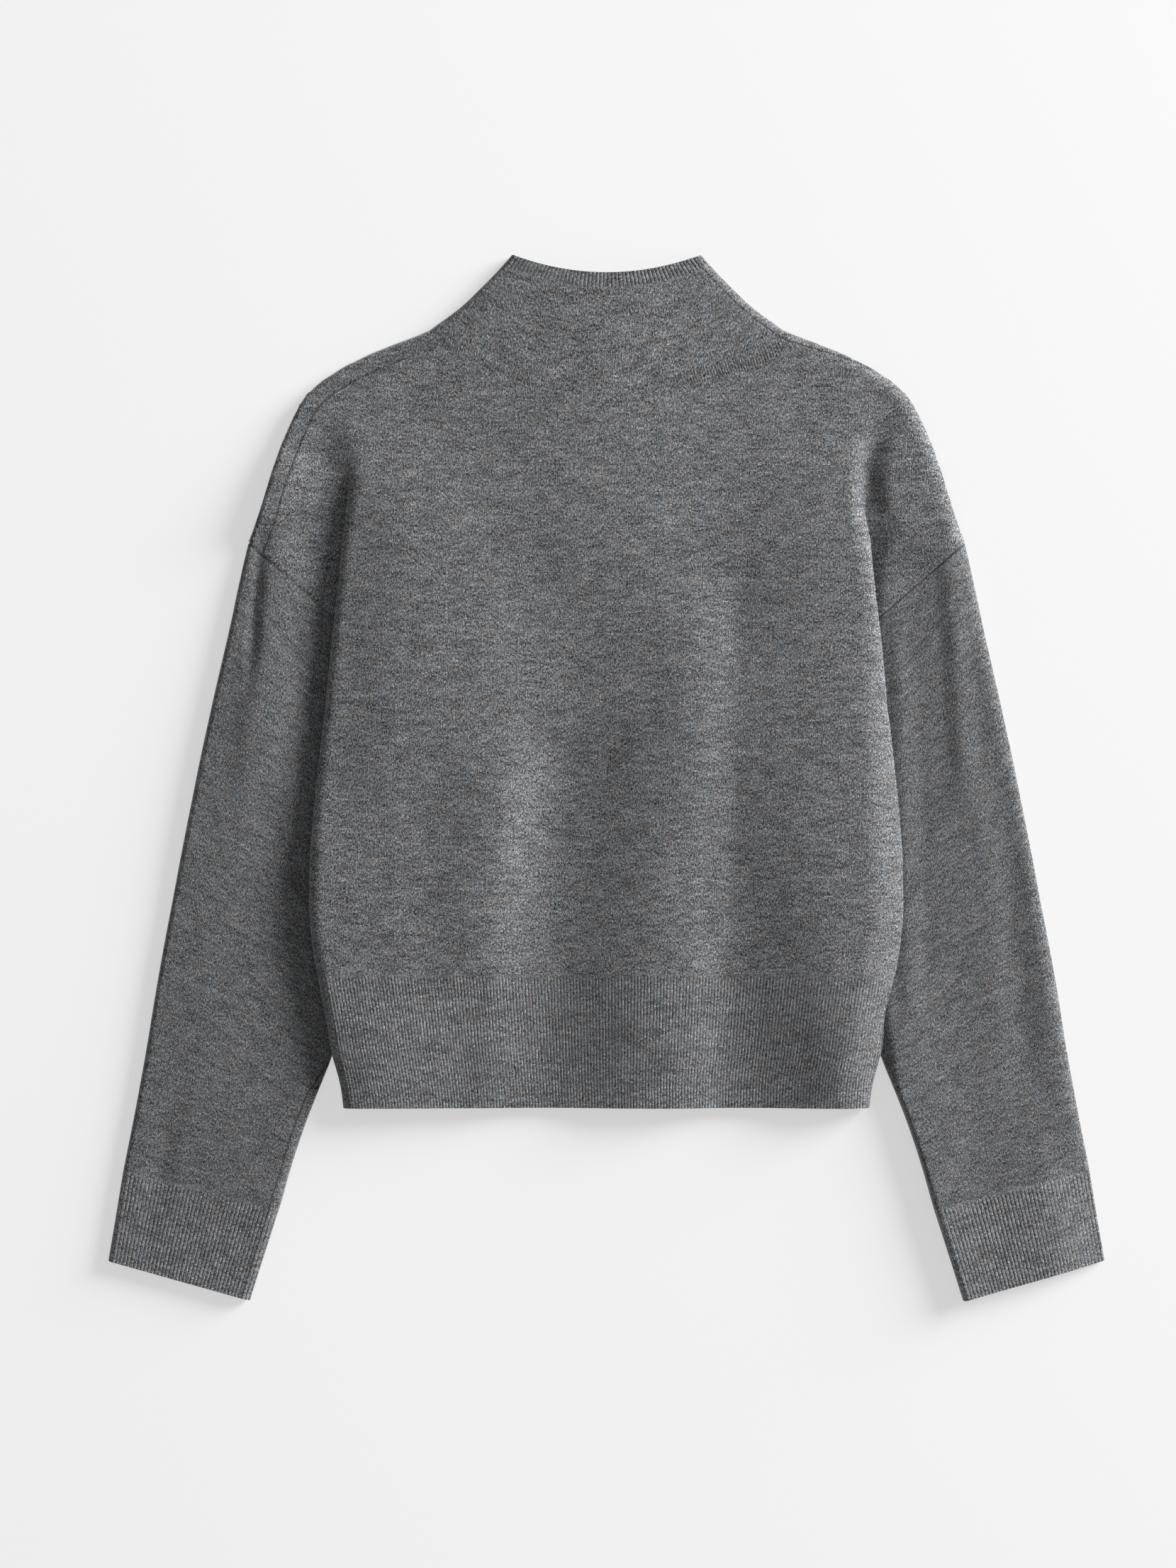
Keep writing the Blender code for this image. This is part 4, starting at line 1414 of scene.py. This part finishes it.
def new_material(name, values):
    """A material with these values for its Principled shader."""
    material = bpy.data.materials.new(name)
    material.use_nodes = True
    shader = material.node_tree.nodes["Principled BSDF"]
    for socket, value in values.items():
        shader.inputs[socket].default_value = value
    return material, material.node_tree, shader


def knit_material(name, tone, contrast, stitch):
    """A knit in heather yarn, with its own tone, contrast and stitch."""
    wale, course, gap_shade, bump_strength = stitch
    material, tree, shader = new_material(name, WOOL)
    uv = tree.nodes.new("ShaderNodeUVMap")
    uv.uv_map = "knit"
    place = uv.outputs[0]
    loops = place_group(tree, stitches, place, {"Wale": wale, "Course": course})
    marks = place_group(tree, furrows, place, {})
    for socket, layer in MARKS.items():
        mark = tree.nodes.new("ShaderNodeAttribute")
        mark.attribute_name = layer
        tree.links.new(mark.outputs["Fac"], marks.inputs[socket])
    yarn = place_group(tree, heather, place, {"Tone": tone, "Contrast": contrast})
    # Painted shade in the gaps between the stitches' legs
    shade = maths(tree, "MULTIPLY_ADD", loops.outputs["Gap"], -gap_shade, 1.0)
    shade = maths(tree, "MULTIPLY", shade, marks.outputs["Shade"])
    tree.links.new(shade, yarn.inputs["Shade"])
    tree.links.new(yarn.outputs["Colour"], shader.inputs["Base Color"])
    height = maths(tree, "ADD", yarn.outputs["Fibres"], loops.outputs["Height"])
    height = maths(tree, "ADD", height, marks.outputs["Height"])
    bump = tree.nodes.new("ShaderNodeBump")
    bump.inputs["Strength"].default_value = bump_strength
    bump.inputs["Distance"].default_value = BUMP_DISTANCE
    tree.links.new(height, bump.inputs["Height"])
    tree.links.new(bump.outputs["Normal"], shader.inputs["Normal"])
    return material


print("A knit reads the mesh's", ", ".join(MARKS.values()))

# %% [markdown]
# ## The four knits
#
# All pieces share one yarn. The sleeves are a little darker than the body,
# and the right cuff's rib is a little lighter: painted light that makes up for
# the shade its ribs cast as they run across the light. A rib's stitches are
# narrower than the plain knit's, because it draws in.

# %% Four knits on nine pieces
# The darkness of the gaps is painted shade.
PLAIN_STITCH = (0.00144, 0.00105, 0.2, 0.3)     # wale, course, darkness of gaps, bump
RIB_STITCH = (0.00108, 0.0011, 0.12, 0.22)
KNITS = (
    # name                      tone   contrast  stitch        pieces
    ("Heather jersey",            0.404, 1.00, PLAIN_STITCH, (back, front, funnel)),
    ("Heather sleeve jersey",     0.382, 0.85, PLAIN_STITCH, (sleeve_left, sleeve_right)),
    ("Heather ribbing",           0.414, 0.80, RIB_STITCH,   (hem, cuff_left, neck_rib)),
    # Painted light: a lighter copy of the ribbing, for the shade across the right cuff's ribs
    ("Heather ribbing painted lighter", 0.430, 0.84, RIB_STITCH,   (cuff_right,)),
)
for name, tone, contrast, stitch, pieces in KNITS:
    knit = knit_material(name, tone, contrast, stitch)
    for piece in pieces:
        piece.data.materials.append(knit)
    print(name, "on", ", ".join(piece.name for piece in pieces))

# %% [markdown]
# ## Ride and replace
#
# Every piece rides on the part's only body and takes the place of its CAD
# solid, which is hidden. The table also gives each piece's slot and the flat
# size it was cut to, which nothing here uses. A tube's flat size is all round it.

# %% Ride and replace
PIECES = (
    # piece         node            slot      flat size in metres
    (back,         "back",         "jersey", (0.60, 0.44), 0.235),
    (front,        "front",        "jersey", (0.49, 0.44), 0.175),
    (hem,          "hem_rib",      "rib",    (0.75, 0.09), None),
    (funnel,       "collar",       "jersey", (0.48, 0.075), 0.026),
    (neck_rib,     "neck_rib",     "rib",    (0.28, 0.012), None),
    (sleeve_left,  "sleeve_left",  "jersey", (0.34, 0.40), 0.10),
    (sleeve_right, "sleeve_right", "jersey", (0.34, 0.40), 0.10),
    (cuff_left,    "cuff_left",    "rib",    (0.22, 0.064), None),
    (cuff_right,   "cuff_right",   "rib",    (0.22, 0.064), None),
)
for piece, node, slot, flat, area in PIECES:
    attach(piece, "root")
    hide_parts(node)
print(len(PIECES), "pieces declared")

# %% [markdown]
# ## The surface
#
# The garment lies on a plain pale floor. It glows a little by itself, so that
# it stays nearly white while the garment's soft shadows still show on it.

# %% Pale floor
FLOOR_HALF = 5.0        # metres
PAPER = {"Base Color": (0.38, 0.38, 0.38, 1.0), "Emission Color": (1.0, 1.0, 1.0, 1.0),
         "Emission Strength": 0.53, "Roughness": 0.9, "Specular IOR Level": 0.1}
shape = bmesh.new()
bmesh.ops.create_grid(shape, x_segments=1, y_segments=1, size=FLOOR_HALF)
floor = mesh_object("floor", shape)
paper, _, _ = new_material("Pale floor", PAPER)
floor.data.materials.append(paper)
print("Floor:", 2 * FLOOR_HALF, "m square")

# %% [markdown]
# ## Light
#
# One large soft light from the upper right, quite low, draws the folds and
# the long soft shadows, and an even white world fills them. A sun or a small
# lamp would draw hard edges, which soft folds don't have.

# %% Key light and world
KEY_AZIMUTH, KEY_ELEVATION, KEY_DISTANCE = 30.0, 16.0, 8.0      # degrees, degrees, metres
KEY_SIZE, KEY_POWER = 4.2, 1610.0                               # metres, watts
WORLD_STRENGTH = 0.30
light = bpy.data.lights.new("key", "AREA")
light.shape = "DISK"
light.size = KEY_SIZE
light.energy = KEY_POWER
key = add_object("key", light)
level = math.cos(math.radians(KEY_ELEVATION)) * KEY_DISTANCE
key.location = (level * math.cos(math.radians(KEY_AZIMUTH)),
                level * math.sin(math.radians(KEY_AZIMUTH)),
                math.sin(math.radians(KEY_ELEVATION)) * KEY_DISTANCE)
key.rotation_euler = (-key.location).to_track_quat("-Z", "Y").to_euler()
world = bpy.data.worlds.new("studio")
bpy.context.scene.world = world
world.use_nodes = True
sky = world.node_tree.nodes["Background"]
sky.inputs["Color"].default_value = (1.0, 1.0, 1.0, 1.0)
sky.inputs["Strength"].default_value = WORLD_STRENGTH
bpy.context.scene.view_settings.view_transform = "Standard"
print("Key light:", KEY_POWER, "W from azimuth", KEY_AZIMUTH)

# %% [markdown]
# ## Camera
#
# The camera looks straight down from far enough away that the layers' heights
# hardly change the outline. Its lens follows from the height of the frame.

# %% Camera
VIEW_CENTRE = (-12.5, -4.3)
FRAME_HEIGHT, CAMERA_HEIGHT = 1062.0, 2600.0
SENSOR = 36.0
lens = bpy.data.cameras.new("camera")
lens.sensor_width = SENSOR
lens.lens = SENSOR * CAMERA_HEIGHT / FRAME_HEIGHT
camera = add_object("camera", lens)
camera.location = (VIEW_CENTRE[0] * MM, VIEW_CENTRE[1] * MM, CAMERA_HEIGHT * MM)
bpy.context.scene.camera = camera
print("Lens", round(lens.lens, 1), "mm at", CAMERA_HEIGHT, "mm")

# %% [markdown]
# ## The end
#
# The scene is complete here.

# %% Finish
print("Scene ready")
